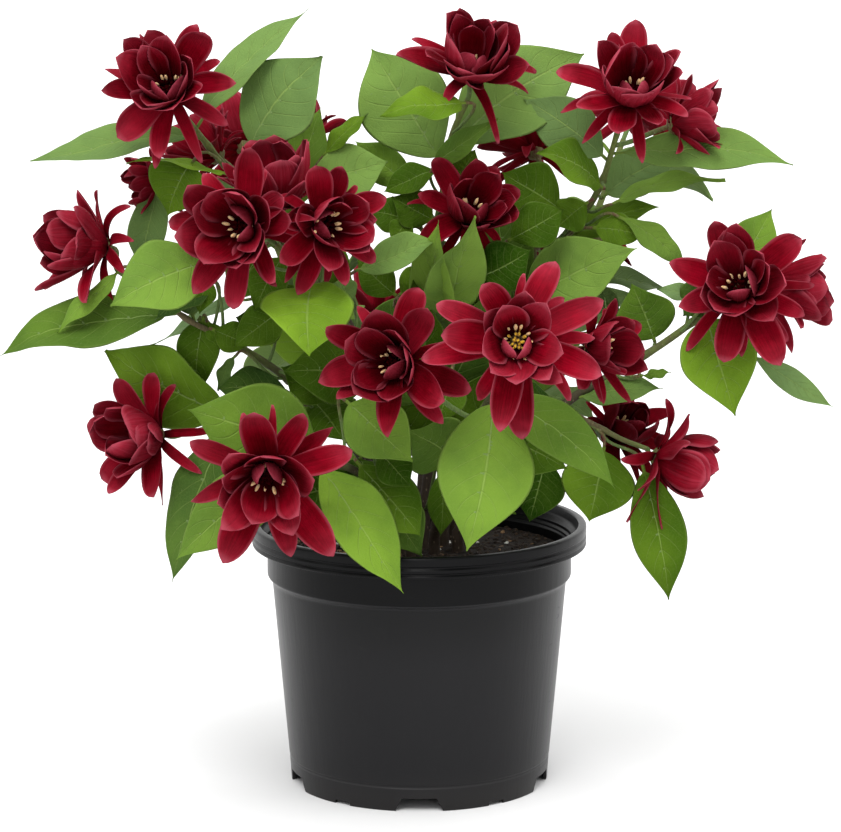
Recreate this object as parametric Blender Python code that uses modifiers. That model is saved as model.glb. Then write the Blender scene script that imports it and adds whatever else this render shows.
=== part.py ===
"""Potted Carolina allspice: a bushy flowering shrub in a squat nursery pot.

Metres, +Z up. The origin is on the ground, at the middle of the pot's foot. +X is the plant's
wide direction and -Y its front. The growth plan below is written in millimetres.
"""
import math

import bmesh
import bpy
from mathutils import Vector

MM = 0.001
GAP = 0.0003                    # clearance between pieces that touch
PERCH_GAP = 0.00045             # the same, where a slanting end face meets round bark

# Pot, millimetres
POT_STEPS = 60                  # sides of every turned surface of the pot
LIP_RADIUS = 113.0
LIP_TOP = 177.5
LIP_BOTTOM = 163.5
LIP_ROUND = 2.5                 # rounding of the lip's corners
MOUTH_RADIUS = 106.5
BAND_RADIUS = 102.9
BAND_BOTTOM = 141.5
BAND_ROUND = 1.6                # rounding of the band's lower edge
SHOULDER_RADIUS = 99.6          # body radius just under the band
SHOULDER_Z = 139.5
CREASE_RADIUS = 88.6            # body radius where the foot ring starts
CREASE_Z = 17.0
CREASE_DEPTH = 0.7
FOOT_RADIUS = 87.2
WALL = 2.0
FLOOR_UNDERSIDE = 12.0
FLOOR_TOP = 14.2
NOTCH_COUNT = 5
NOTCH_WIDTH = 34.0              # at the ground
NOTCH_TOP_WIDTH = 23.0
NOTCH_HEIGHT = 9.0
CUT_OUTWARD = 6.0               # how far a foot cutter reaches outside the foot ring
CUT_INWARD = 8.0                # and inside it
CUT_BELOW = 2.0                 # and under the ground
STEP_WIDTH = 12.0               # shallow steps midway between the notches
STEP_HEIGHT = 2.5
DRAIN_RADIUS = 7.0
DRAIN_CIRCLE = 58.0             # radius of the circle that the drain holes lie on
DRAIN_SIDES = 16
DRAIN_CUT = 10.0                # length of a drain hole's cutter

# Potting mix, millimetres
SOIL_TOP = 159.0                # flat middle, where the canes come up
SOIL_EDGE_TOP = 156.0
SOIL_FLAT_RADIUS = 62.0
SOIL_CLEARANCE = 0.4            # between the root ball and the pot
SOIL_CORNER = 1.0               # bevel of the root ball's lower edge

# Canes: foot on the soil, points the cane bends through, foot radius, tip radius
CANES = {
    "cane_left": ((-24, 0), [(-32, -22, 215), (-60, -38, 258), (-90, -45, 286), (-118, -50, 306),
                             (-145, -50, 325)], 4.0, 2.1),
    "cane_front_left": ((-12, -12), [(-18, -32, 235), (-38, -60, 303), (-66, -88, 353),
                                     (-92, -104, 381)], 4.2, 1.9),
    "cane_top_left": ((-12, 12), [(-22, 2, 238), (-42, -8, 303), (-75, -2, 359), (-105, 0, 391),
                                  (-128, -20, 421), (-152, -38, 455)], 4.4, 1.8),
    "cane_centre": ((2, 4), [(10, 6, 235), (16, 2, 308), (14, 2, 368), (20, -6, 433),
                             (32, -14, 465)], 4.8, 1.8),
    "cane_right": ((16, 10), [(36, 14, 235), (64, 14, 311), (86, 20, 355), (106, 12, 381),
                              (120, 0, 405), (130, -22, 443)], 4.4, 1.8),
    "cane_low_right": ((26, -4), [(58, -20, 223), (98, -30, 265), (134, -40, 289), (170, -50, 315),
                                  (200, -56, 341)], 4.2, 2.0),
    "cane_front": ((10, -18), [(20, -56, 217), (38, -100, 265), (52, -140, 303), (58, -166, 325)],
                   4.0, 2.0),
    "cane_low_front": ((-6, -32), [(-24, -62, 211), (-50, -92, 235), (-74, -126, 243),
                                   (-90, -150, 241)], 3.6, 1.9),
    "cane_back_left": ((-18, 28), [(-40, 56, 228), (-78, 88, 303), (-104, 118, 361),
                                   (-118, 142, 401)], 4.2, 1.9),
    "cane_back": ((0, 30), [(6, 62, 228), (22, 104, 280), (48, 138, 306), (66, 158, 312)], 4.0, 1.9),
    "cane_back_right": ((22, 26), [(50, 54, 232), (90, 84, 304), (122, 104, 372),
                                   (142, 118, 424)], 4.2, 1.9),
}

# Twigs: the cane that carries it, share of the cane's length, points, foot radius, tip radius
TWIGS = {
    "twig_left": ("cane_left", 0.90, [(-150, -62, 325), (-172, -58, 341), (-196, -50, 355)], 1.9, 1.6),
    "twig_low_left": ("cane_left", 0.58, [(-104, -60, 271), (-132, -66, 257), (-158, -64, 249)],
                      1.9, 1.6),
    "twig_low_right": ("cane_low_right", 0.50, [(114, -42, 253), (134, -46, 243),
                                                (150, -47, 237)], 1.9, 1.6),
}

# Flowers: carrier, share of its length, middle of the flower, facing, tepal length, spread in
# degrees from the flower's axis
FLOWERS = {
    "flower_top_left": ("cane_top_left", 1.0, (-166, -62, 477), (-3, -10, 4), 50, 66),
    "flower_top_centre": ("cane_centre", 1.0, (36, -24, 489), (1, -5, 10), 51, 62),
    "flower_top_right": ("cane_right", 1.0, (136, -52, 475), (0, -9, 5), 49, 68),
    "flower_top_right_side": ("cane_right", 0.96, (188, -16, 465), (9, -2, 3), 40, 54),
    "flower_left": ("twig_left", 1.0, (-224, -44, 381), (-9, -3, 4), 46, 54),
    "flower_upper_left": ("cane_front_left", 1.0, (-114, -130, 396), (-3, -10, 2), 47, 72),
    "flower_upper_left_inner": ("cane_front_left", 0.84, (-56, -114, 395), (4, -10, 1), 42, 66),
    "flower_upper_centre": ("cane_centre", 0.70, (30, -68, 405), (1, -8, 6), 42, 64),
    "flower_centre": ("cane_front", 0.62, (-18, -166, 315), (-1, -10, 1), 50, 76),
    "flower_front": ("cane_front", 1.0, (60, -198, 333), (0, -10, 1), 54, 78),
    "flower_behind_front": ("cane_low_right", 0.66, (116, -112, 319), (7, -7, 1), 36, 60),
    "flower_right": ("cane_low_right", 1.0, (208, -84, 353), (-1, -10, 2), 50, 72),
    "flower_far_right": ("cane_low_right", 0.95, (246, -24, 341), (9, -3, 0), 45, 62),
    "flower_low_left": ("twig_low_left", 1.0, (-186, -66, 245), (-8, -5, 1), 47, 58),
    "flower_low_front": ("cane_low_front", 1.0, (-96, -180, 241), (0, -10, -2), 52, 76),
    "flower_low_right": ("twig_low_right", 1.0, (170, -50, 233), (9, -2, -1), 42, 56),
    "flower_low_right_inner": ("twig_low_right", 0.35, (134, -2, 249), (1, 8, 5), 32, 50),
    "flower_back_top_left": ("cane_top_left", 0.62, (-78, 62, 439), (-2, 6, 10), 34, 50),
    "flower_back_top_right": ("cane_right", 0.62, (78, 66, 433), (-3, 8, 4), 42, 62),
    "flower_back_left": ("cane_back_left", 1.0, (-128, 174, 423), (-3, 9, 4), 49, 70),
    "flower_back": ("cane_back", 1.0, (80, 195, 308), (1, 10, -1), 50, 74),
    "flower_back_right": ("cane_back_right", 1.0, (156, 146, 450), (3, 9, 3), 47, 70),
    "flower_back_low": ("cane_back", 0.45, (-34, 176, 293), (-3, 10, 1), 46, 72),
}

# Leaves: carrier, share of its length, tip, blade width, direction the upper face looks in
LEAVES = {
    "leaf_top_left_upper": ("cane_top_left", 0.97, (-75, -8, 527), 38, (-5, -6, 6)),
    "leaf_top_left_broad": ("cane_top_left", 0.80, (-64, -36, 495), 52, (-4, -9, 3)),
    "leaf_top_left_side": ("cane_top_left", 0.95, (-250, -50, 427), 34, (0, -5, 9)),
    "leaf_left_long": ("twig_left", 0.45, (-279, -64, 303), 44, (-2, -6, 8)),
    "leaf_left_low": ("twig_low_left", 0.60, (-205, -30, 303), 46, (-4, -9, -2)),
    "leaf_left_hanging": ("twig_low_left", 0.60, (-160, -74, 153), 38, (-6, -8, 0)),
    "leaf_low_front_left": ("cane_low_front", 0.72, (-144, -134, 279), 50, (1, -10, 3)),
    "leaf_pot_front": ("cane_low_front", 0.78, (-10, -146, 165), 46, (4, -9, 5)),
    "leaf_front_broad": ("cane_front", 0.76, (30, -160, 193), 66, (0, -10, 4)),
    "leaf_front_right": ("cane_front", 0.76, (124, -146, 233), 50, (5, -10, 4)),
    "leaf_mid_left": ("cane_front_left", 0.86, (-66, -146, 319), 54, (0, -8, 6)),
    "leaf_top_centre_left": ("cane_centre", 0.80, (-36, 24, 493), 54, (-3, -10, 3)),
    "leaf_top_centre_right": ("cane_centre", 0.88, (110, 18, 489), 46, (-2, -9, 4)),
    "leaf_centre_upright": ("cane_centre", 0.48, (14, -62, 392), 40, (-3, -9, 3)),
    "leaf_right_upper": ("cane_right", 0.85, (245, -34, 421), 42, (1, -6, 8)),
    "leaf_right_broad": ("cane_right", 0.52, (140, -44, 367), 48, (-1, -9, 5)),
    "leaf_right_hanging": ("cane_low_right", 0.86, (200, -98, 267), 60, (1, -9, 4)),
    "leaf_right_long": ("cane_low_right", 0.97, (276, -14, 259), 32, (5, -4, 7)),
    "leaf_low_right_hanging": ("twig_low_right", 0.50, (165, -62, 138), 38, (1, -10, 2)),
    "leaf_back_left": ("cane_back_left", 0.72, (-205, 176, 321), 48, (-2, 6, 8)),
    "leaf_back_right": ("cane_back_right", 0.52, (160, 196, 290), 46, (2, 6, 8)),
}

LEAF_THICKNESS = 0.9
LEAF_ROWS = 9
LEAF_ARCH = 0.07                # rise of the midrib, as a share of the leaf's length
LEAF_FOLD = 0.22                # how far the two halves rise from the midrib
PETIOLE_SHARE = 0.10            # of the leaf's length
PETIOLE_HALF_WIDTH = 1.3
TIP_HALF_WIDTH = 0.65
BLADE_BASE_SHIFT = 0.85         # under 1 puts the widest part nearer the petiole
BLADE_FULLNESS = 0.85           # under 1 fills the blade out

STALK_RADIUS = 1.5
STALK_PULL = 0.4                # how far the stalk keeps its first and last direction
RECEPTACLE_RADIUS = 6.5
RECEPTACLE_LENGTH = 5.0
RIM_THICKNESS = 1.8
LOBES = 6                       # tips on the plain outline of a flower
LOBE_NOTCH = 0.74               # radius between two tips, as a share of the tip radius
# A flower's sizes as shares of its tepals' length
MIDDLE_SHARE = 0.36             # from the stalk's end to the middle of the flower
CUP_CURVE = 0.80                # the tepals curl, so the rim stands lower than their length
CROWN_RADIUS = 0.36
CROWN_EDGE = 0.42
CROWN_TOP = 0.50

STEM_SPAN_STEPS = 3             # straight pieces between two points of a stem
LEAD_IN = 12.0                  # upright start of each cane above the soil
TWIG_FOOT_MARGIN = 1.3          # extra clearance where a twig leaves its cane at a slant

POT_COLOUR = (0.022, 0.022, 0.024)
SOIL_COLOUR = (0.030, 0.018, 0.011)
CANE_COLOUR = (0.085, 0.055, 0.032)
TWIG_COLOUR = (0.13, 0.16, 0.045)
PETAL_COLOUR = (0.26, 0.008, 0.022)
LEAF_COLOUR = (0.12, 0.26, 0.035)


def clear_scene():
    for item in list(bpy.data.objects):
        bpy.data.objects.remove(item, do_unlink=True)


def make_collection(name):
    collection = bpy.data.collections.new(name)
    bpy.context.scene.collection.children.link(collection)
    return collection


def make_material(name, colour, roughness):
    """A plain Principled material; its values stand for one sub-part."""
    material = bpy.data.materials.new(name)
    material.use_nodes = True
    shader = material.node_tree.nodes["Principled BSDF"]
    shader.inputs["Base Color"].default_value = (*colour, 1.0)
    shader.inputs["Roughness"].default_value = roughness
    shader.inputs["Metallic"].default_value = 0.0
    material.diffuse_color = (*colour, 1.0)
    return material


def add_object(name, data, collection, colour, roughness):
    item = bpy.data.objects.new(name, data)
    collection.objects.link(item)
    data.materials.append(make_material(name, colour, roughness))
    return item


def hide_cutter(cutter):
    cutter.display_type = "WIRE"
    cutter.hide_render = True


def metres(point):
    return Vector(point) * MM


# ---------------------------------------------------------------- pot and potting mix

def inner_radius(z):
    """Inner radius of the pot's wall at a height, in millimetres."""
    if z >= BAND_BOTTOM:
        return BAND_RADIUS - WALL
    share = (z - CREASE_Z) / (SHOULDER_Z - CREASE_Z)
    return CREASE_RADIUS - WALL + share * (SHOULDER_RADIUS - CREASE_RADIUS)


def pot_profile():
    """Half section from the middle of the floor, up the inside, over the lip, down the outside."""
    inside = [
        (0.0, FLOOR_TOP),
        (inner_radius(FLOOR_TOP), FLOOR_TOP),
        (inner_radius(SHOULDER_Z), SHOULDER_Z),
        (inner_radius(BAND_BOTTOM), BAND_BOTTOM + WALL),
        (inner_radius(LIP_BOTTOM), LIP_BOTTOM),
        (MOUTH_RADIUS, LIP_TOP - 2 * LIP_ROUND),
    ]
    lip = [
        (MOUTH_RADIUS + LIP_ROUND, LIP_TOP - 0.2 * LIP_ROUND),
        (LIP_RADIUS - LIP_ROUND, LIP_TOP),
        (LIP_RADIUS, LIP_TOP - LIP_ROUND),
        (LIP_RADIUS, LIP_BOTTOM + LIP_ROUND),
        (LIP_RADIUS - 0.7 * LIP_ROUND, LIP_BOTTOM),
        (BAND_RADIUS + BAND_ROUND, LIP_BOTTOM - 1.0),
    ]
    outside = [
        (BAND_RADIUS, LIP_BOTTOM - 1.0 - BAND_ROUND),
        (BAND_RADIUS, BAND_BOTTOM + BAND_ROUND),
        (BAND_RADIUS - 0.6 * BAND_ROUND, BAND_BOTTOM),
        (SHOULDER_RADIUS, SHOULDER_Z),
        (CREASE_RADIUS, CREASE_Z),
        (CREASE_RADIUS - CREASE_DEPTH, CREASE_Z - 2 * CREASE_DEPTH),
        (FOOT_RADIUS, 0.0),
        (FOOT_RADIUS - WALL, 0.0),
        (FOOT_RADIUS - WALL, FLOOR_UNDERSIDE),
        (0.0, FLOOR_UNDERSIDE),
    ]
    return inside + lip + outside


def soil_profile():
    """Half section of the root ball, a little clear of the pot all round."""
    corner_z = FLOOR_TOP + SOIL_CORNER
    return [
        (0.0, SOIL_TOP),
        (SOIL_FLAT_RADIUS, SOIL_TOP),
        (inner_radius(SOIL_EDGE_TOP) - SOIL_CLEARANCE, SOIL_EDGE_TOP),
        (inner_radius(BAND_BOTTOM) - SOIL_CLEARANCE, BAND_BOTTOM + WALL),
        (inner_radius(SHOULDER_Z) - SOIL_CLEARANCE, SHOULDER_Z),
        (inner_radius(corner_z) - SOIL_CLEARANCE, corner_z),
        (inner_radius(FLOOR_TOP) - SOIL_CLEARANCE - SOIL_CORNER, FLOOR_TOP + SOIL_CLEARANCE),
        (0.0, FLOOR_TOP + SOIL_CLEARANCE),
    ]


def turned(name, profile, collection, colour, roughness):
    """A profile of (radius, height) points, turned about the Z axis."""
    mesh = bpy.data.meshes.new(name)
    points = [(radius * MM, 0.0, height * MM) for radius, height in profile]
    mesh.from_pydata(points, [(i, i + 1) for i in range(len(points) - 1)], [])
    item = add_object(name, mesh, collection, colour, roughness)
    screw = item.modifiers.new("Turn", "SCREW")
    screw.axis = "Z"
    screw.steps = POT_STEPS
    screw.render_steps = POT_STEPS
    screw.use_merge_vertices = True
    screw.merge_threshold = 0.00001
    screw.use_smooth_shade = False
    return item


def foot_cutter_part(build, angle, width, top_width, height):
    """One tapered block through the foot ring, its slanted sides facing along the ring."""
    block = bmesh.ops.create_cube(build, size=1.0)["verts"]
    outward = Vector((math.cos(angle), math.sin(angle), 0.0))
    along = Vector((-math.sin(angle), math.cos(angle), 0.0))
    for vert in block:
        half = (top_width if vert.co.z > 0 else width) / 2
        radius = FOOT_RADIUS + (CUT_OUTWARD if vert.co.x > 0 else -CUT_INWARD)
        level = height if vert.co.z > 0 else -CUT_BELOW
        side = half if vert.co.y > 0 else -half
        vert.co = (outward * radius + along * side + Vector((0, 0, level))) * MM


def foot_cutter(collection):
    """Five drainage notches, one at the front, with a shallow step midway between them."""
    build = bmesh.new()
    turn = 2 * math.pi / NOTCH_COUNT
    for index in range(NOTCH_COUNT):
        angle = -math.pi / 2 + index * turn
        foot_cutter_part(build, angle, NOTCH_WIDTH, NOTCH_TOP_WIDTH, NOTCH_HEIGHT)
        foot_cutter_part(build, angle + turn / 2, STEP_WIDTH, STEP_WIDTH, STEP_HEIGHT)
    mesh = bpy.data.meshes.new("foot_notches")
    build.to_mesh(mesh)
    build.free()
    cutter = bpy.data.objects.new("foot_notches", mesh)
    collection.objects.link(cutter)
    hide_cutter(cutter)
    return cutter


def drain_centres():
    turn = 2 * math.pi / NOTCH_COUNT
    angles = [math.pi / 2 + index * turn for index in range(NOTCH_COUNT)]
    return [(DRAIN_CIRCLE * math.cos(a), DRAIN_CIRCLE * math.sin(a)) for a in angles]


def drain_cutter(collection):
    """Drain holes through the raised floor."""
    build = bmesh.new()
    for x, y in drain_centres():
        hole = bmesh.ops.create_cone(
            build, cap_ends=True, segments=DRAIN_SIDES, radius1=DRAIN_RADIUS * MM,
            radius2=DRAIN_RADIUS * MM, depth=DRAIN_CUT * MM)
        bmesh.ops.translate(build, verts=hole["verts"], vec=metres((x, y, FLOOR_UNDERSIDE)))
    mesh = bpy.data.meshes.new("drain_holes")
    build.to_mesh(mesh)
    build.free()
    cutter = bpy.data.objects.new("drain_holes", mesh)
    collection.objects.link(cutter)
    hide_cutter(cutter)
    return cutter


def make_pot(parts, cutters):
    pot = turned("pot", pot_profile(), parts, POT_COLOUR, 0.42)
    for cutter in (foot_cutter(cutters), drain_cutter(cutters)):
        cut = pot.modifiers.new(cutter.name, "BOOLEAN")
        cut.operation = "DIFFERENCE"
        cut.solver = "EXACT"
        cut.object = cutter
    return pot


# ---------------------------------------------------------------- stems

def smooth_path(points):
    """Catmull-Rom curve through the points, as a list of closer points."""
    padded = [points[0] * 2 - points[1], *points, points[-1] * 2 - points[-2]]
    path = []
    for index in range(1, len(padded) - 2):
        before, start, end, after = padded[index - 1:index + 3]
        for step in range(STEM_SPAN_STEPS):
            t = step / STEM_SPAN_STEPS
            path.append(0.5 * (2 * start + (end - before) * t
                               + (2 * before - 5 * start + 4 * end - after) * t * t
                               + (3 * start - before - 3 * end + after) * t ** 3))
    path.append(padded[-2])
    return path


class Stem:
    """A tapering stem along a smooth path; other pieces perch on it."""

    def __init__(self, points, foot_radius, tip_radius, upright_from=None):
        self.path = smooth_path([metres(point) for point in points])
        if upright_from is not None:
            self.path.insert(0, metres(upright_from))
        self.foot_radius = foot_radius * MM
        self.tip_radius = tip_radius * MM
        self.lengths = [0.0]
        for start, end in zip(self.path, self.path[1:]):
            self.lengths.append(self.lengths[-1] + (end - start).length)

    def radius(self, share):
        return self.foot_radius + (self.tip_radius - self.foot_radius) * share

    def place(self, share):
        """Point and direction at a share of the stem's length."""
        target = share * self.lengths[-1]
        index = 1
        while index < len(self.path) - 1 and self.lengths[index] < target:
            index += 1
        start, end = self.path[index - 1], self.path[index]
        local = (target - self.lengths[index - 1]) / (end - start).length
        return start.lerp(end, local), (end - start).normalized()

    def perch(self, share, toward, half_size):
        """Start of a piece that grows from the stem's bark towards a point.

        Returns the start and the direction it sets off in. half_size is the piece's own
        half width there, so that its end face clears the bark.
        """
        centre, along = self.place(share)
        if share >= 1.0:
            return centre + along * GAP, along
        away = (toward - centre).normalized()
        outward = (away - along * away.dot(along)).normalized()
        aim = (away + outward).normalized()
        clear = self.radius(share) + PERCH_GAP + half_size * abs(aim.dot(along))
        return centre + outward * clear, aim


def make_tube(name, stem, collection, colour):
    curve = bpy.data.curves.new(name, "CURVE")
    curve.dimensions = "3D"
    curve.bevel_depth = 1.0
    curve.bevel_resolution = 2
    curve.use_fill_caps = True
    spline = curve.splines.new("POLY")
    spline.points.add(len(stem.path) - 1)
    for index, point in enumerate(stem.path):
        spline.points[index].co = (*point, 1.0)
        spline.points[index].radius = stem.radius(stem.lengths[index] / stem.lengths[-1])
    return add_object(name, curve, collection, colour, 0.7)


def make_stems(collection):
    """All canes, then the twigs that they carry."""
    stems = {}
    for name, (foot, points, foot_radius, tip_radius) in CANES.items():
        ground = (*foot, SOIL_TOP + GAP / MM)
        lead = (*foot, SOIL_TOP + LEAD_IN)
        stems[name] = Stem([lead] + points, foot_radius, tip_radius, ground)
        make_tube(name, stems[name], collection, CANE_COLOUR)
    for name, (carrier, share, points, foot_radius, tip_radius) in TWIGS.items():
        start, _ = stems[carrier].perch(share, metres(points[0]),
                                        TWIG_FOOT_MARGIN * foot_radius * MM)
        stems[name] = Stem([tuple(start / MM)] + points, foot_radius, tip_radius)
        make_tube(name, stems[name], collection, TWIG_COLOUR)
    return stems


# ---------------------------------------------------------------- leaves

def leaf_half_width(share, width):
    """Half width of a leaf at a share of its length: petiole, rounded blade, pointed tip."""
    edge = PETIOLE_HALF_WIDTH + (TIP_HALF_WIDTH - PETIOLE_HALF_WIDTH) * share
    blade = (share - PETIOLE_SHARE) / (1 - PETIOLE_SHARE)
    if not 0 < blade < 1:
        return edge
    bulge = math.sin(math.pi * blade ** BLADE_BASE_SHIFT) ** BLADE_FULLNESS
    return max(edge, width / 2 * bulge)


def make_leaf(name, stems, collection):
    """One leaf: petiole and blade as a thin folded sheet, arched from its foot to its tip."""
    carrier, share, tip, width, face = LEAVES[name]
    foot, _ = stems[carrier].perch(share, metres(tip), PETIOLE_HALF_WIDTH * MM)
    along = metres(tip) - foot
    side = along.cross(Vector(face)).normalized()
    up = side.cross(along).normalized()
    build = bmesh.new()
    bmesh.ops.create_grid(build, x_segments=2, y_segments=LEAF_ROWS, size=1.0)
    for vert in build.verts:
        lengthwise = (vert.co.y + 1) / 2
        across = vert.co.x * leaf_half_width(lengthwise, width) * MM
        arch = LEAF_ARCH * along.length * 4 * lengthwise * (1 - lengthwise)
        vert.co = foot + along * lengthwise + side * across + up * (arch + LEAF_FOLD * abs(across))
    mesh = bpy.data.meshes.new(name)
    build.to_mesh(mesh)
    build.free()
    leaf = add_object(name, mesh, collection, LEAF_COLOUR, 0.5)
    sheet = leaf.modifiers.new("Thickness", "SOLIDIFY")
    sheet.thickness = LEAF_THICKNESS * MM
    sheet.offset = 0.0
    return leaf


# ---------------------------------------------------------------- flowers

def loft(rings, last_point):
    """Closed mesh through rings of equal count, from a flat first ring to a last point."""
    build = bmesh.new()
    rows = [[build.verts.new(point) for point in ring] for ring in rings]
    count = len(rows[0])
    build.faces.new(list(reversed(rows[0])))
    for lower, upper in zip(rows, rows[1:]):
        for i in range(count):
            j = (i + 1) % count
            build.faces.new((lower[i], lower[j], upper[j], upper[i]))
    top = build.verts.new(last_point)
    for i in range(count):
        build.faces.new((rows[-1][i], rows[-1][(i + 1) % count], top))
    bmesh.ops.recalc_face_normals(build, faces=build.faces)
    return build


def lobed_ring(centre, normal, start_side, radius, notch):
    """Ring of points around a direction, every second one drawn in to the notch share."""
    side = (start_side - normal * start_side.dot(normal)).normalized()
    other = normal.cross(side)
    ring = []
    for index in range(2 * LOBES):
        turn = math.pi * index / LOBES
        reach = radius * (1.0 if index % 2 == 0 else notch) * MM
        ring.append(centre + (side * math.cos(turn) + other * math.sin(turn)) * reach)
    return ring


def make_flower(name, stems, collection):
    """One flower with its stalk: receptacle, lobed cup of tepals and closed middle."""
    carrier, share, middle, facing, tepal, spread = FLOWERS[name]
    axis = Vector(facing).normalized()
    side = axis.orthogonal()
    lean = math.radians(spread)
    foot = metres(middle) - axis * MIDDLE_SHARE * tepal * MM
    start, aim = stems[carrier].perch(share, foot, STALK_RADIUS * MM)
    pull = (foot - start).length * STALK_PULL
    bend = (start + aim * pull + foot - axis * pull) / 2

    def above(height):
        return foot + axis * height * MM

    rim_radius = tepal * math.sin(lean)
    rim_height = RECEPTACLE_LENGTH + tepal * math.cos(lean) * CUP_CURVE
    rings = [
        lobed_ring(start, aim, side, STALK_RADIUS, 1.0),
        lobed_ring(bend, (foot - start).normalized(), side, STALK_RADIUS, 1.0),
        lobed_ring(foot, axis, side, STALK_RADIUS, 1.0),
        lobed_ring(above(RECEPTACLE_LENGTH), axis, side, RECEPTACLE_RADIUS, 1.0),
        lobed_ring(above(rim_height), axis, side, rim_radius, LOBE_NOTCH),
        lobed_ring(above(rim_height + RIM_THICKNESS), axis, side, rim_radius - RIM_THICKNESS,
                   LOBE_NOTCH),
        lobed_ring(above(RECEPTACLE_LENGTH + CROWN_EDGE * tepal), axis, side,
                   CROWN_RADIUS * tepal, 1.0),
    ]
    build = loft(rings, above(RECEPTACLE_LENGTH + CROWN_TOP * tepal))
    mesh = bpy.data.meshes.new(name)
    build.to_mesh(mesh)
    build.free()
    return add_object(name, mesh, collection, PETAL_COLOUR, 0.6)


def main():
    clear_scene()
    parts = make_collection("potted_carolina_allspice")
    cutters = make_collection("cutters")
    make_pot(parts, cutters)
    turned("potting_mix", soil_profile(), parts, SOIL_COLOUR, 0.95)
    stems = make_stems(parts)
    for name in LEAVES:
        make_leaf(name, stems, parts)
    for name in FLOWERS:
        make_flower(name, stems, parts)


main()
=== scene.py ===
"""Potted Carolina allspice: the finished looks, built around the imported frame.

Metres, +Z up. The origin is on the ground at the middle of the pot's foot, and -Y is the front.
The growth plan is written in millimetres, as the frame's own plan is.
"""
import math
import random

import bmesh
import bpy
from mathutils import Matrix, Vector


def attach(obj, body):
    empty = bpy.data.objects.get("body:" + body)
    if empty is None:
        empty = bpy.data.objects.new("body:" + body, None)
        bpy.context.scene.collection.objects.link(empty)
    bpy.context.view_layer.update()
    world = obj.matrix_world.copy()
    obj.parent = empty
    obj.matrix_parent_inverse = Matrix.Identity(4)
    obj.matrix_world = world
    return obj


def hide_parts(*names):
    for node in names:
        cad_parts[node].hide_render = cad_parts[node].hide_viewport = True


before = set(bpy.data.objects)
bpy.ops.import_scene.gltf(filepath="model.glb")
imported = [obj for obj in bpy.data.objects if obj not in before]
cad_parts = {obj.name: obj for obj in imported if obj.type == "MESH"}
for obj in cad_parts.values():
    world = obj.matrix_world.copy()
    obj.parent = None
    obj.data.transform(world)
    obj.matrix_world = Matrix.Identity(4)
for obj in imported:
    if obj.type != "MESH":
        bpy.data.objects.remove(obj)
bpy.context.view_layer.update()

MM = 0.001

# ---- growth plan
# Lengths and places are in millimetres and angles in degrees. Shares and amounts in the tables are
# in hundredths.

SOIL_TOP = 159.0
LEAD_IN = 12.0                  # upright start of each cane above the soil
CANE_DEPTH = 4.0                # how far below the soil's top its foot lies
PERCH_SINK = 0.4                # how far a piece's foot goes into the bark that carries it

# Canes: foot radius, tip radius, foot on the soil, points the cane bends through
CANES = """
cane_left       4.0 2.1   -24,0 -32,-22,215 -60,-38,258 -90,-45,286 -118,-50,306 -145,-50,325
cane_front_left 4.2 1.9 -12,-12 -18,-32,235 -38,-60,303 -66,-88,353 -92,-104,381
cane_top_left   4.4 1.8  -12,12 -22,2,238 -42,-8,303 -75,-2,359 -105,0,391 -128,-20,421 -152,-38,455
cane_centre     4.8 1.8     2,4 10,6,235 16,2,308 14,2,368 20,-6,433 32,-14,465
cane_right      4.4 1.8   16,10 36,14,235 64,14,311 86,20,355 106,12,381 120,0,405 130,-22,443
cane_low_right  4.2 2.0   26,-4 58,-20,223 98,-30,265 134,-40,289 170,-50,315 200,-56,341
cane_front      4.0 2.0  10,-18 20,-56,217 38,-100,265 52,-140,303 58,-166,325
cane_low_front  3.6 1.9  -6,-32 -24,-62,211 -50,-92,235 -74,-126,243 -90,-150,241
cane_back_left  4.2 1.9  -18,28 -40,56,228 -78,88,303 -104,118,361 -118,142,401
cane_back       4.0 1.9    0,30 6,62,228 22,104,280 48,138,306 66,158,312
cane_back_right 4.2 1.9   22,26 50,54,232 90,84,304 122,104,372 142,118,424
"""

# Twigs: the cane that carries it, share of the cane's length, foot radius, tip radius, points
TWIGS = """
twig_left      cane_left      90 1.9 1.6  -150,-62,325 -172,-58,341 -196,-50,355
twig_low_left  cane_left      58 1.9 1.6  -104,-60,271 -132,-66,257 -158,-64,249
twig_low_right cane_low_right 50 1.9 1.6  114,-42,253 134,-46,243 150,-47,237
"""

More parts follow.
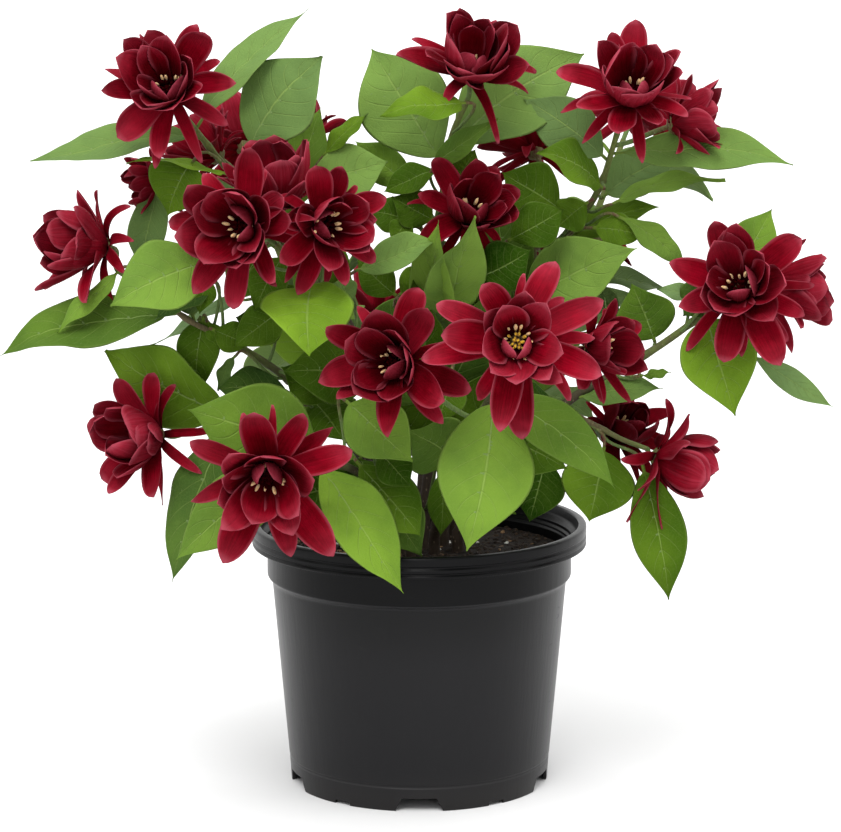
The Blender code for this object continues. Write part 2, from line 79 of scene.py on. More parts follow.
# Flowers: stem, share of its length, middle, facing, tepal length, spread from the flower's axis,
# how far the bowl opens, how golden the heart is, how much painted shade darkens the flower, side
# on which the inmost tepals close, turn about the axis
FLOWERS = """
flower_top_left         cane_top_left   100  -163,-62,479  -1,-9,4 52 60 60  20 25  -80  -20
flower_top_centre       cane_centre     100    35,-32,491   1,-8,7 53 52 40  10 35  -90  -40
flower_top_right        cane_right      100   138,-52,477   0,-8,6 49 60 30   0 10  -90 -130
flower_top_right_side   cane_right       97   177,-18,451   9,-2,3 42 54 60   0 30  -60  140
flower_left             twig_left       100  -218,-44,373  -9,-4,2 50 62  0   0 40  -60   20
flower_upper_left       cane_front_left 100 -114,-130,396 -3,-10,2 50 76 60  20 30   10   20
flower_upper_left_inner cane_front_left  84  -58,-114,395  4,-10,2 43 73 50  20 35  165 -140
flower_upper_centre     cane_centre      70    34,-48,396   2,-8,5 42 73 30  10 75 -100  180
flower_centre           cane_front       62  -18,-166,315 -3,-10,2 51 71 50  10 50    5 -160
flower_front            cane_front      100   60,-198,333  0,-10,1 56 78 90 100  0  -90   40
flower_behind_front     cane_low_right   66  116,-112,315   7,-7,1 36 64 40   0 70 -120    0
flower_right            cane_low_right  100   206,-84,352 -2,-10,4 53 68 60  20 30  -35  -42
flower_far_right        cane_low_right   95   243,-24,341   9,-3,0 45 62 30   0 45    0  -20
flower_low_left         twig_low_left   100  -181,-66,249  -6,-7,1 49 65 15   0 35  -70   10
flower_low_front        cane_low_front  100  -95,-180,242 0,-10,-2 56 82 70  10 10   95  -60
flower_low_right        twig_low_right  100   168,-50,228  9,-2,-3 46 71  0   0 40  -90 -100
flower_low_right_inner  twig_low_right   35    136,-4,243   3,-6,5 38 65  0   0 95  -80 -140
flower_back_top_left    cane_top_left    62    -78,62,436   -2,9,7 34 50 30   0 50   40   70
flower_back_top_right   cane_right       62     76,66,428   -3,7,6 42 70 50  10 60  200    0
flower_back_left        cane_back_left  100  -128,174,419   -3,9,4 49 75 60  20 30  120    0
flower_back             cane_back       100    80,195,308  1,10,-1 50 74 80  40 10  -70    0
flower_back_right       cane_back_right 100   156,146,446    3,9,3 47 70 50  10 40   20    0
flower_back_low         cane_back        45   -34,176,293  -3,10,1 46 72 70  20 30  170    0
"""

# Smaller flowers tucked in among the others
TUCKED_FLOWERS = """
bloom_upper_left_crown  cane_front_left  74   -93,-70,412  0,-3,10 52 52 10   0 20  -90  100
bloom_behind_top_left   cane_top_left    78   -142,22,428   -7,1,5 36 64 30   0 60   60  230
bloom_behind_left       cane_top_left    66   -177,-2,410 -8,-3,-1 26 61  0   0 50    0   20
bloom_shaded_centre     cane_right       45     75,44,364   -2,6,5 30 48  0   0 90    0  285
bloom_shaded_right      cane_right       55    122,58,362   3,7,-2 32 44  0   0 90   90  285
"""

# Leaves: stem, share of its length, tip, blade width, direction the upper face looks in, how light
# its green is (partly its own tone, partly painted shade), how much greyish painted sheen it has,
# the blade's foot where a shoot holds it away from the stem, and how near the tip the blade is
# widest where that isn't the usual
LEAVES = """
leaf_top_left_upper    cane_top_left   97    -72,-8,524 35  -5,-6,6  55 50
leaf_top_left_broad    cane_top_left   80   -63,-36,495 60  -4,-9,3  45 45 -112,-30,432  93
leaf_top_left_side     cane_top_left   95  -253,-50,427 38   0,-5,9  45 45
leaf_left_long         twig_left       45  -274,-64,303 50  -2,-6,8  25 10
leaf_left_low          twig_low_left   60  -208,-30,300 58 -4,-9,-2  55  0
leaf_left_hanging      twig_low_left   60  -163,-74,153 43  -6,-8,0  20 15
leaf_low_front_left    cane_low_front  72 -147,-134,279 65  1,-10,3  45 10
leaf_pot_front         cane_low_front  78  -10,-146,162 46   4,-9,5  85 10
leaf_front_broad       cane_front      76   30,-160,193 62  0,-10,4  75 15
leaf_front_right       cane_front      76  124,-146,230 38  5,-10,4  42 10
leaf_mid_left          cane_front_left 86  -69,-146,316 60   0,-8,6  90  0
leaf_top_centre_left   cane_centre     80    -32,24,495 62 -3,-10,3  75 40     15,4,420 103
leaf_top_centre_right  cane_centre     88    110,18,492 65  -2,-9,4  68 42
leaf_centre_upright    cane_centre     48    12,-98,395 40  -3,-9,3  95 20
leaf_right_upper       cane_right      95   245,-34,424 36   1,-7,7  60 35
leaf_right_broad       cane_right      52   143,-44,370 54  -1,-9,5  85 30
leaf_right_hanging     cane_low_right  86   206,-74,264 52   1,-9,4  70  0  187,-58,329  72
leaf_right_long        cane_low_right  97   276,-14,259 17   1,-9,2  55 65  220,-24,296
leaf_low_right_hanging twig_low_right  50   165,-62,138 37  1,-10,2  27  0  147,-52,228
leaf_back_left         cane_back_left  72  -205,176,321 48   -2,6,8  50 20
leaf_back_right        cane_back_right 52   160,196,290 46    2,6,8  50 20
"""

# Smaller leaves that fill the shrub, one group under each stem, in the same columns
SPRAYS = """
cane_top_left
 74  -191,-44,426 16  0,-3,10 100  0 -125,-28,417  73
 73  -165,-36,390 47  -3,-9,4  40  0 -148,-34,426  73
 84  -185,-14,350 32  -5,-8,2  30 45 -174,-10,406
 60     -33,8,454 15  -6,-8,3  50  0    -64,4,425
 56     -21,2,422 40 -1,-10,5  85 45   -79,-2,402 107
 70    -66,30,456 34  -2,-9,4  40 10
 42    -95,22,337 34  -4,-7,5  25  0
 36    -10,28,330 36   3,-7,6  25 10
 29    -22,61,298 36    0,8,6  55 10
 75   -103,68,423 42   -1,8,5  72 20
 47    -68,58,319 36   -2,8,4  71 20
twig_left
 60  -235,-74,319 17  -1,-6,8  65 15 -195,-58,358
 30  -151,-20,378 36  -3,-8,4  30 40
cane_left
 97  -147,-56,271 29 -2,-10,0  20  0 -141,-56,327  73
 95  -172,-72,327 26   1,-6,8   5 10 -136,-54,348  73
 86  -110,-66,309 22   0,-9,3  30  0 -135,-60,319
 76  -120,-54,326 20   1,-9,3  20  0  -99,-50,317 107
 70  -132,-60,278 10  -4,-9,0  30 30 -120,-56,301 107
 55  -132,-66,281 34  -1,-7,7  10 10  -82,-60,273 107
 72   -90,-66,295 32   0,-9,3  20  0  -55,-60,272
 60   -50,-74,249 44   1,-9,4  20  0
 50  -131,-52,223 40  -3,-9,2  20  0
 36   -38,-72,203 35   2,-9,3  10  0
 92  -143,-66,330 18   0,-9,4  30  0 -138,-62,353  73
 98  -129,-58,309 12   0,-9,3  30  0 -138,-56,323
cane_front_left
 90 -196,-124,344 50  -1,-9,5  75 20 -128,-96,370
 66    12,-84,381 29   0,-7,7  65 40  -41,-70,359
 52   -87,-96,297 45  -3,-9,3  20  0
 44     4,-92,316 36   2,-9,4  25 10
 60   -41,-40,363 24  -2,-9,4  20  0  -15,-40,338
 74  -107,-72,333 27   0,-9,4  30  0  -88,-68,369
 80  -122,-62,337 29  -2,-9,4  25  0 -102,-62,372
 70   -43,-74,353 28   2,-9,4  25  0  -74,-70,372
 62   -45,-82,336 17   2,-9,3  50 40  -52,-80,356  73
 78  -121,-70,309 29  -1,-9,3  30  0  -87,-66,335
cane_low_front
 90 -155,-146,184 42 -3,-10,1  55 15
 62   -4,-138,246 43   1,-9,4  65 15 -47,-108,280
 52    1,-104,190 40   2,-9,3  25  0  -41,-90,237 107
 42     2,-98,176 38   2,-9,3  20 10
 50  -98,-112,211 40  -3,-9,2   5  0
 46   -6,-112,225 27   2,-9,3  15  0 -27,-100,245 107
cane_centre
 92   -25,-78,461 30  -1,-7,7  55  0   30,-50,466  73
 78    51,-40,455 20  -3,-8,5  35 10   10,-12,420  73
 50   36,-110,399 42   2,-9,3 100 30
 72    -43,26,433 29   0,-9,5  60 10    -3,16,402
 70   -24,-12,403 22   0,-8,6  25  0    12,-6,417
 62     -36,0,389 25  -1,-9,4  20  0     -3,0,379
 64   -18,-14,369 18  -3,-9,2  30  0    -6,-8,387
 50     9,-36,357 24   2,-9,4  35  0  -13,-30,337
 52    95,-30,394 32   2,-9,3  25  0   58,-30,373 107
 40    -4,-50,350 34  -3,-9,3  25  0
 34    62,-40,352 40   3,-9,4  25 10
 30     9,-80,256 28   0,-9,3  25  0   20,-66,290  73
 22   -26,-46,296 40  -3,-9,3  20  0
 24    60,-52,300 40   3,-9,3  20  0
 10    14,-66,182 21   1,-9,2  20  0   14,-58,225
 66   -18,-10,400 27  -1,-9,4  20  0    10,-8,384
 74    37,-16,432 24   2,-9,3  35  0   22,-14,410
 46    73,-52,370 36   3,-9,3   0  0   39,-46,351
 46     54,56,350 44    1,8,7  54  0
cane_front
 55    96,-92,232 40   3,-9,3  25  0
 42   -8,-112,262 45  -3,-9,3  30 10
 30    63,-84,201 32   3,-9,3  20  0
cane_low_right
 99   233,-20,393 34   1,-9,2  60 10
 78   139,-48,347 41 -2,-10,1  30  5  155,-44,308
 66   137,-60,323 13 -1,-10,2  35 10  144,-60,292 107
 68   164,-68,292  8   1,-8,6  45 10  145,-60,288 107
 90   156,-42,343 12   1,-9,4  60 80  189,-46,338 107
 55   159,-64,281 25   0,-7,7  60 40
 50   112,-60,190 50  1,-10,2  45  0  122,-50,239
 36    73,-50,188 36  1,-10,2   0  0   84,-42,231
 30    55,-64,207 26 -2,-10,2  15  0
 48    62,-64,264 38  -3,-9,3   0  0
 88   173,-50,326 29  -1,-9,4  10 10  194,-50,349
cane_right
 93     69,-2,464 38  -3,-9,4  30 50
 74    55,-12,416 40  -2,-9,4  30  0    95,-6,390 107
 88    77,-44,433 38  -1,-7,7  35  0  121,-14,406
 80   202,-18,412 17   1,-6,8  90 25  128,-10,395  73
 84    176,20,427 35   1,-8,5  50 60    122,6,397  73
 76   176,-22,355 20   2,-8,5  68 20  132,-14,387 107
 70     162,0,392 29   1,-6,8  45  0
 56    135,30,349 34   2,-8,4  42 10
 54     52,38,392 43  -3,-8,4  25 10
 40    30,-20,372 36  -3,-9,4  20  0
 34   113,-10,310 36   3,-9,3  25 10
 70    91,-10,380 27  -1,-9,4  30  0   112,-8,396 107
 62   149,-16,374 26   2,-8,5  45  0  115,-10,379
 40     84,61,292 30    2,8,6  39 20
 68    131,78,364 39    0,8,5  70 20
 30     50,82,227 43   -2,8,8  56  0
cane_back_left
 95  -176,150,372 38   -4,5,8  60 10
 55   -185,60,288 17   0,-4,9  30 80  -115,50,322
 92   -70,176,396 38    3,6,8  60 10
 60   -30,128,344 42    4,6,8  40 10
 50    -76,66,372 38   -3,4,8  40 10
 36  -104,104,232 40   -4,7,6  40  0
 34     -4,96,266 40    4,7,6  30  0
 50  -124,150,240 44   -2,8,4  60  0
 55   -69,111,348 32    1,8,6  58 20
 28   -18,130,229 40    2,8,7  58 10
 91  -137,181,377 32    0,8,7  36 20
 31   -88,106,256 36    1,8,8  51  0
 48    -12,92,301 32    3,8,4  60  0
cane_back
 92    16,204,326 40   -2,7,8  70 10
 90   104,170,242 42    3,8,3  70  0
 70    96,116,322 38    4,5,9  40 10
 52    64,160,222 44    2,9,3  50  0
 46   -44,116,230 44   -3,8,4  50 10
 30     44,96,200 38    3,8,4  30  0
 28   -26,108,196 38   -3,8,4  30  0
 59    -2,158,319 39   -1,8,6  57  0
 84    83,173,343 34    0,8,5  38 10
 58    55,152,249 40    2,8,7  44  0
 36    32,120,207 37    2,8,6  74 10
cane_back_right
 95    92,152,436 38   -4,6,8  60 10
 93   206,130,380 38    4,5,8  60 20
 72    74,138,352 42   -4,7,6  40  0
 66    176,62,322 40    5,3,8  40 20
 40    40,124,296 40   -4,7,6  30  0
 38   124,112,226 42    4,8,4  50  0
 25     98,52,216 38    5,5,6  30  0
 36      7,72,299 39    3,8,6  72  0
 52    151,93,318 39    0,8,6  37 10
 49    69,129,323 34    2,8,6  53 20
 81   126,178,364 44    2,8,8  40  0
 67    46,127,372 45   -3,8,6  59  0
 52     80,96,237 35    0,8,4  64 20
"""

# More small leaves that look to the left and right, with their stems
SIDE_LEAVES = """
cane_back        71    73,138,243 35    8,0,4  60  0
cane_back        63     55,88,334 37    8,0,4  45 20
cane_right       38     89,15,342 37    8,0,7  62 20
cane_back_right  65    139,56,307 32    8,3,4  45  0
cane_back_left   34   -110,77,208 41  -8,-1,5  58 10
cane_back        35     62,87,269 34    8,1,5  45 10
cane_right       70    129,13,309 41    8,0,4  64 10
cane_back_right  32    113,33,241 32   8,-1,7  62 20
cane_top_left    35    -89,21,243 41   -8,0,4  50  0
cane_centre      68     64,-4,320 41    8,0,3  66  0
cane_back_right  88   194,119,414 38    8,2,4  42 20
cane_left        30    -61,32,204 35   -8,2,4  67 10
cane_back_left   89  -186,129,387 45   -8,2,4  42 20
cane_top_left    71   -144,31,353 33   -8,1,5  44 10
cane_back_left   45  -116,108,321 45   -8,1,6  57  0
cane_top_left    64    -96,63,401 43   -8,2,7  49  0
cane_back_left   78   -150,65,379 43   -8,0,7  64 10
cane_top_left    48    -86,12,364 34  -8,-1,7  65 10
"""

# Pot, millimetres: radius, height and rounding of each corner of its half section
POT_SECTION = [
    (0, 14.2, 0), (85.9, 14.2, 3), (97.6, 139.5, 1.5), (100.9, 143.5, 1.5), (100.9, 161.5, 0.8),
    (101.8, 163.0, 0.4), (101.8, 164.4, 0.4), (103.4, 165.4, 0.4), (103.4, 167.4, 0.4),
    (106.5, 171.0, 1.5), (107.6, 177.5, 1.2), (113.0, 177.5, 1.9), (113.0, 171.6, 0.3),
    (112.0, 171.0, 0.2), (112.0, 170.2, 0.2), (113.0, 169.0, 0.3), (113.0, 167.0, 0.3),
    (112.0, 166.4, 0.2), (112.0, 165.8, 0.2), (113.0, 164.7, 0.3), (112.9, 163.5, 0.6),
    (104.2, 162.6, 1.2), (102.9, 160.0, 1.2), (102.9, 142.6, 1.3), (99.6, 139.5, 2.0),
    (88.7, 18.2, 0.6), (88.0, 17.2, 0.3), (88.0, 16.2, 0.3), (88.4, 15.4, 0.4),
    (87.3, 0, 0.7), (85.2, 0, 0.5), (85.2, 12.0, 1.0), (0, 12.0, 0),
]
POT_SIDES = 180
BAND_FOOT = 142.9               # the lip and band begin here, painted darker as shade from the foliage above
SHADE_RISE = (0.096, 0.138)     # metres: painted shade darkens the wall towards the band above it
SHADE_END = (0.1388, 0.1396)
NOTCH_COUNT = 5
NOTCH_WIDTH = 34.0              # at the ground
NOTCH_TOP_WIDTH = 23.0
NOTCH_HEIGHT = 9.0
STEP_WIDTH = 12.0               # shallow steps midway between the notches
STEP_HEIGHT = 2.5
FOOT_RADIUS = 87.2
CUT_OUTWARD = 6.0
CUT_INWARD = 8.0
CUT_BELOW = 2.0
DRAIN_CIRCLE = 58.0
DRAIN_RADIUS = 7.0
DRAIN_SIDES = 32
DRAIN_CUT = 10.0
FLOOR_UNDERSIDE = 12.0
SOIL_SECTION = [
    (0, 159), (62, 159), (100.3, 156), (100.3, 144), (97.1, 139.5), (86.2, 15.4), (85.0, 14.8),
    (0, 14.8),
]
SOIL_ROW = 2.4                  # distance between two rings of the potting mix
SOIL_SIDES = 120
SOIL_HEAP = 0.007               # metres: how uneven its top is
POT_CREASE, SOIL_CREASE = 38, 70                    # degrees: sharper edges stay sharp

# Stalks and shoots, millimetres
STEM_SPAN_STEPS = 7             # steps of a stem between two of its given points
STALK_STEPS = 9
STALK_RADIUS = 1.7
STALK_PULL = 0.4                # how long a stalk keeps its first direction, as a share
SHOOT_RADIUS = 1.1              # of a shoot that carries a leaf
SHORTEST_SHOOT = 3.0            # a leaf nearer than this sits on the bark itself

# Flower, millimetres unless another unit is named
FEWEST_TEPALS = 19
TEPAL_STEP = 7                  # one more tepal for each of these in its length
REFLEX = 0.72                   # how far the skirt's tepals turn back
SAG = 0.10                      # how far the open tepals hang
THINNEST_TEPAL = 0.0005         # metres from the middle of its tip to the rim
GOLDEN_ANGLE = 2.39996          # radians between two tepals
MIDDLE_SHARE = 0.36             # from the stalk's end to the middle of the flower, in tepal lengths
RECEPTACLE = [(0.0, 1.7), (0.8, 2.6), (1.8, 4.6), (3.2, 6.2), (4.8, 6.4), (6.0, 5.6), (6.8, 3.4)]
TEPAL_GRID = (16, 15)           # points around and rows along one tepal

# Leaf
LEAF_GRID = (20, 48)            # points around and rows along one leaf
USUAL_BELLY = 90                # how near the tip the blade is widest, in hundredths
PETIOLE_SHARE = 0.06            # of the leaf's length
PETIOLE_HALF, TIP_HALF = 0.0012, 0.0003             # metres from the middle to the edge
PETIOLE_THICK, BLADE_THICK = 0.0011, 0.00026        # metres from the middle to a face
VEIN_PAIRS = 8.0
VEIN_SLANT = 0.24               # how far a vein runs up the blade on its way to the edge
VEIN_CURVE = 1.2                # above 1 the vein bends upwards near the edge
QUILT_DEPTH = 0.0008            # metres
RIB_DEPTH = -0.00032
DICE_SEED = 11
LEAF_RANGES = {                 # each leaf draws one value from each range
    "Arch": (0.045, 0.095), "Bend": (-0.022, 0.022), "Fold": (0.18, 0.32), "Droop": (0.05, 0.22),
    "Sway": (-0.05, 0.05), "Twist": (-0.5, 0.5), "Wave": (0.0006, 0.0018),
}

# Bits on the potting mix: how many to a square metre, size in metres, length ratio, how finely
# their shape is divided, how many metres from the pot's middle they reach, seed, finish
CRUMBS = {
    "compost_crumbs": (40000.0, 0.0018, 1.3, 1, 0.100, 3, "crumb"),
    "perlite_grains": (1700.0, 0.0020, 1.1, 2, 0.099, 8, "perlite"),
    "bark_chips": (2600.0, 0.0021, 2.1, 2, 0.097, 5, "chip"),
}

# Studio, metres and degrees. Lamps: name, where they shine from, strength, spread
FLOOR_REACH = 6
WORLD_LIGHT = 1.6
LAMPS = [("key", (-0.55, -2.2, 2.9), 2.3, 30), ("top", (0.9, 0.5, 2.4), 0.9, 60)]
CAMERA_PLACE = (0.0008, -2.4, 0.695)
CAMERA_TILT = 79.5
CAMERA_LENS = 155.3


def metres(point):
    return Vector(point) * MM


def entry(word):
    """A name, a number, or a point whose numbers have commas between them."""
    if word[0].isalpha():
        return word
    numbers = [float(part) for part in word.split(",")]
    return numbers if len(numbers) > 1 else numbers[0]


def rows(table):
    return [[entry(word) for word in line.split()] for line in table.strip().splitlines()]


# ---- drawing node trees

def arithmetic(operation, turned=False):
    """A method of Value that adds a Math node."""
    def method(first, second):
        pair = (second, first) if turned else (first, second)
        return first.plan.maths(operation, *pair)
    return method


class Value:
    """One value in a node tree."""

    __add__ = __radd__ = arithmetic("ADD")
    __mul__ = __rmul__ = arithmetic("MULTIPLY")
    __sub__, __rsub__ = arithmetic("SUBTRACT"), arithmetic("SUBTRACT", turned=True)
    __truediv__, __pow__ = arithmetic("DIVIDE"), arithmetic("POWER")

    def __init__(self, plan, socket):
        self.plan = plan
        self.socket = socket

    def out(self, name):
        """Another output of the node that this value comes from."""
        return Value(self.plan, self.socket.node.outputs[name])


class Plan:
    """Draws nodes into a geometry or a material tree."""

    def __init__(self, tree):
        self.tree = tree

    def node(self, kind, *values, out=0, **named):
        """Lower-case names are settings of the node. Its sockets are given in order or by name."""
        node = self.tree.nodes.new(kind)
        for key, value in named.items():
            if key[0].islower():
                setattr(node, key, value)
        sockets = {key.replace("_", " "): named[key] for key in named if key[0].isupper()}
        for key, value in (*enumerate(values), *sockets.items()):
            if isinstance(value, Value):
                self.tree.links.new(value.socket, node.inputs[key])
            elif value is not None:
                node.inputs[key].default_value = value
        return Value(self, node.outputs[out])

    def maths(self, operation, *values, clamp=False):
        return self.node("ShaderNodeMath", *values, operation=operation, use_clamp=clamp)

    def sin(self, angle):
        return self.maths("SINE", angle)

    def cos(self, angle):
        return self.maths("COSINE", angle)

    def positive(self, value):
        return self.maths("ABSOLUTE", value)

    def largest(self, first, second):
        return self.maths("MAXIMUM", first, second)

    def split(self, vector):
        parts = self.node("ShaderNodeSeparateXYZ", vector)
        return parts, parts.out("Y"), parts.out("Z")

    def join(self, x, y, z):
        return self.node("ShaderNodeCombineXYZ", x, y, z)

    def vector(self, operation, first, second):
        return self.node("ShaderNodeVectorMath", first, second, operation=operation)

    def scaled(self, vector, amount):
        return self.node("ShaderNodeVectorMath", vector, Scale=amount, operation="SCALE")

    def fade(self, value, low, high):
        """0 below low, 1 above high, eased between."""
        return self.node("ShaderNodeMapRange", value, low, high, 0.0, 1.0,
                         interpolation_type="SMOOTHSTEP")

    def drop(self, value, low, high):
        """1 below low, 0 above high, eased between."""
        return 1.0 - self.fade(value, low, high)

    def between(self, share, low, high):
        return self.maths("MULTIPLY_ADD", share, high - low, low)

    def lumps(self, vector, scale, detail=2.0, roughness=0.5, out=0):
        return self.node("ShaderNodeTexNoise", Vector=vector, Scale=scale, Detail=detail,
                         Roughness=roughness, out=out)


class Tree(Plan):
    """A geometry node tree with named inputs; its source is the object's own mesh."""

    SOCKETS = {int: "NodeSocketInt", float: "NodeSocketFloat", tuple: "NodeSocketVector"}

    def __init__(self, name, inputs):
        super().__init__(bpy.data.node_groups.new(name, "GeometryNodeTree"))
        face = self.tree.interface
        face.new_socket("Geometry", in_out="INPUT", socket_type="NodeSocketGeometry")
        face.new_socket("Geometry", in_out="OUTPUT", socket_type="NodeSocketGeometry")
        self.keys = {}
        for label, value in inputs.items():
            kind = self.SOCKETS.get(type(value), "NodeSocketMaterial")
            socket = face.new_socket(label, in_out="INPUT", socket_type=kind)
            socket.default_value = value
            self.keys[label] = socket.identifier
        self.given = self.tree.nodes.new("NodeGroupInput")
        self.source = self["Geometry"]

    def make(self, kind, *values, **named):
        return self.node("GeometryNode" + kind, *values, **named)

    def __getitem__(self, label):
        """The tree's input of that name."""
        return Value(self, self.given.outputs[label])

    def store(self, geometry, name, value, kind="FLOAT_VECTOR"):
        return self.make("StoreNamedAttribute", Geometry=geometry, Name=name, Value=value,
                         data_type=kind, domain="POINT")

    def stored(self, name, kind="FLOAT_VECTOR"):
        return self.make("InputNamedAttribute", Name=name, data_type=kind)

    def chance(self, number, channel):
        """A random share for each whole number, different for each channel and seed."""
        key = number * 1.618 + self["Seed"] * 7.31 + channel * 13.7
        return self.node("ShaderNodeTexWhiteNoise", W=key, noise_dimensions="1D")

    def swing(self, number, channel, reach):
        """The same, but from -reach to reach."""
        return (self.chance(number, channel) - 0.5) * (2.0 * reach)

    def shell(self, around, rows):
        """A closed tube of radius 1 and length 1: flattened, it's a blade with two faces."""
        return self.make("MeshCylinder", Vertices=around, Side_Segments=rows, Radius=1.0,
                         Depth=1.0, fill_type="NGON")

    def place(self, geometry, position):
        return self.make("SetPosition", Geometry=geometry, Position=position)

    def painted(self, geometry, finish):
        return self.make("SetMaterial", Geometry=geometry, Material=finish)

    def close(self, *geometries):
        """Ends the tree: every part realized, smooth and with its finish."""
        node = self.tree.nodes.new("GeometryNodeJoinGeometry")
        for geometry in reversed(geometries):
            self.tree.links.new(geometry.socket, node.inputs[0])
        joined = self.make("RealizeInstances", Geometry=Value(self, node.outputs[0]))
        smooth = self.make("SetShadeSmooth", Geometry=joined)
        end = self.tree.nodes.new("NodeGroupOutput")
        self.tree.links.new(smooth.socket, end.inputs[0])
        return self


def linked(name, data):
    """A new object in the scene."""
    item = bpy.data.objects.new(name, data)
    bpy.context.scene.collection.objects.link(item)
    return item


def grown(name, tree, source, settings, cutters=()):
    """An object whose plain mesh is what the tree makes of the source."""
    item = linked(name, source)
    growth = item.modifiers.new("Growth", "NODES")
    growth.node_group = tree.tree
    for label, value in settings.items():
        growth[tree.keys[label]] = value
    for cutter in cutters:
        cut = item.modifiers.new(cutter.name, "BOOLEAN")
        cut.operation = "DIFFERENCE"
        cut.solver = "EXACT"
        cut.object = cutter
    mesh = bpy.data.meshes.new_from_object(item.evaluated_get(
        bpy.context.evaluated_depsgraph_get()))
    item.modifiers.clear()
    item.data = mesh
    mesh.name = name
    for cutter in cutters:
        bpy.data.objects.remove(cutter)
    return item


def faced(item, matrix=None, sharp=None):
    """Puts the mesh in place with its faces outwards."""
    mesh = item.data
    build = bmesh.new()
    build.from_mesh(mesh)
    bmesh.ops.recalc_face_normals(build, faces=build.faces)
    if matrix is not None:
        build.transform(matrix)
    build.to_mesh(mesh)
    build.free()
    if sharp is not None:
        mesh.set_sharp_from_angle(angle=math.radians(sharp))
    return item


# ---- finishes

class Finish(Plan):
    """A material whose patterns are drawn with nodes."""

    def __init__(self, name, roughness=0.5, **uniform):
        self.material = bpy.data.materials.new(name)
        self.material.use_nodes = True
        super().__init__(self.material.node_tree)
        self.shader = self.tree.nodes["Principled BSDF"]
        self.shader.inputs["Roughness"].default_value = roughness
        for key, value in uniform.items():
            self.shader.inputs[key.replace("_", " ")].default_value = value
        self.here = self.node("ShaderNodeTexCoord", out="Object")

    def attribute(self, name):
        return self.node("ShaderNodeAttribute", out="Vector", attribute_name=name)

    def stretched(self, vector, scale):
        return self.node("ShaderNodeMapping", Vector=vector, Scale=scale)

    def blend(self, share, first, second):
        pair = [value if isinstance(value, Value) else (*value, 1.0) for value in (first, second)]
        return self.node("ShaderNodeMix", share, *[None] * 5, *pair, out=2, data_type="RGBA")

    def cells(self, vector, scale, feature="DISTANCE_TO_EDGE"):
        return self.node("ShaderNodeTexVoronoi", Vector=vector, Scale=scale, feature=feature)

    def coat(self, share, colour):
        """Lays one more colour over those before, as strongly as the share says."""
        self.colour = self.blend(share, self.colour, colour)

    def finished(self, height=None, depth=0.001, strength=0.5, roughness=None):
        links = self.tree.links
        links.new(self.colour.socket, self.shader.inputs["Base Color"])
        if roughness is not None:
            links.new(roughness.socket, self.shader.inputs["Roughness"])
        if height is not None:
            bump = self.node("ShaderNodeBump", Height=height, Distance=depth, Strength=strength)
            links.new(bump.socket, self.shader.inputs["Normal"])
        return self.material


def pot_plastic(name, shine, low, high):
    """Black moulded plastic with a satin surface, faint scuffs, a little dust and painted shade
    under the band.
    """
    f = Finish(name, Specular_IOR_Level=shine)
    _, _, z = f.split(f.here)
    cloud = f.lumps(f.here, 9.0, 4.0, 0.6)
    drawn = f.lumps(f.stretched(f.here, (60.0, 60.0, 7.0)), 3.0, 3.0, 0.6)
    scuff = f.fade(f.lumps(f.stretched(f.here, (30.0, 30.0, 160.0)), 2.0, 4.0, 0.7), 0.62, 0.72)
    dust = f.drop(z, 0.0, 0.03) * cloud
    f.colour = f.blend(cloud, low, high)
    # Painted shade: the wall darkens just under the band, where the band and the foliage shade it.
    painted_band_shade = f.fade(z, *SHADE_RISE) * f.drop(z, *SHADE_END)
    f.coat(painted_band_shade * 0.75, (0.0008, 0.0008, 0.0010))
    f.coat(scuff * shine, (0.016, 0.016, 0.017))
    f.coat(dust * 0.30, (0.035, 0.031, 0.027))
    rough = f.maths("ADD", f.between(cloud, 0.27, 0.40), scuff * 0.14, clamp=True)
    grain = f.lumps(f.here, 900.0, 2.0, 0.6) * 0.25 + drawn
    return f.finished(grain, 0.0004, 0.30, rough)


def potting_mix():
    """Dark, damp compost."""
    f = Finish("potting_mix", 0.92, Specular_IOR_Level=0.25)
    fine = f.lumps(f.here, 420.0, 5.0, 0.7)
    broad = f.lumps(f.here, 60.0, 4.0, 0.6)
    f.colour = f.blend(f.fade(fine, 0.35, 0.7), (0.0035, 0.0024, 0.0018), (0.026, 0.016, 0.010))
    f.coat(f.fade(broad, 0.5, 0.75) * 0.5, (0.040, 0.025, 0.014))
    return f.finished(fine + broad, 0.002, 0.8)


def grit(name, dark, light, size):
    """Loose bits in the potting mix."""
    f = Finish(name, 0.85, Specular_IOR_Level=0.3)
    grain = f.lumps(f.here, size, 4.0, 0.65)
    f.colour = f.blend(f.fade(grain, 0.3, 0.7), dark, light)
    return f.finished(grain, 0.0006, 0.6)


def bark(name, old, new, lenticel):
    """Stem bark: streaks along the stem, small pale pores, greener towards the young end."""
    f = Finish(name, 0.75, Specular_IOR_Level=0.3)
    _, share, _ = f.split(f.attribute("stem"))
    streak = f.lumps(f.stretched(f.here, (1.0, 1.0, 0.25)), 700.0, 4.0, 0.65)
    patch = f.lumps(f.here, 60.0, 3.0, 0.6)
    pore = f.drop(f.cells(f.stretched(f.here, (1.0, 1.0, 0.6)), 330.0, "F1"), 0.10, 0.22)
    age = f.maths("ADD", share * 0.9, (patch - 0.5) * 0.5, clamp=True)
    f.colour = f.blend(f.fade(age, 0.35, 0.95), old, new)
    f.coat(f.fade(streak, 0.35, 0.75) * 0.55, tuple(c * 2.1 for c in old))
    f.coat(pore * 0.7, lenticel)
    return f.finished(streak + pore * 0.6 + patch, 0.0008, 0.6)


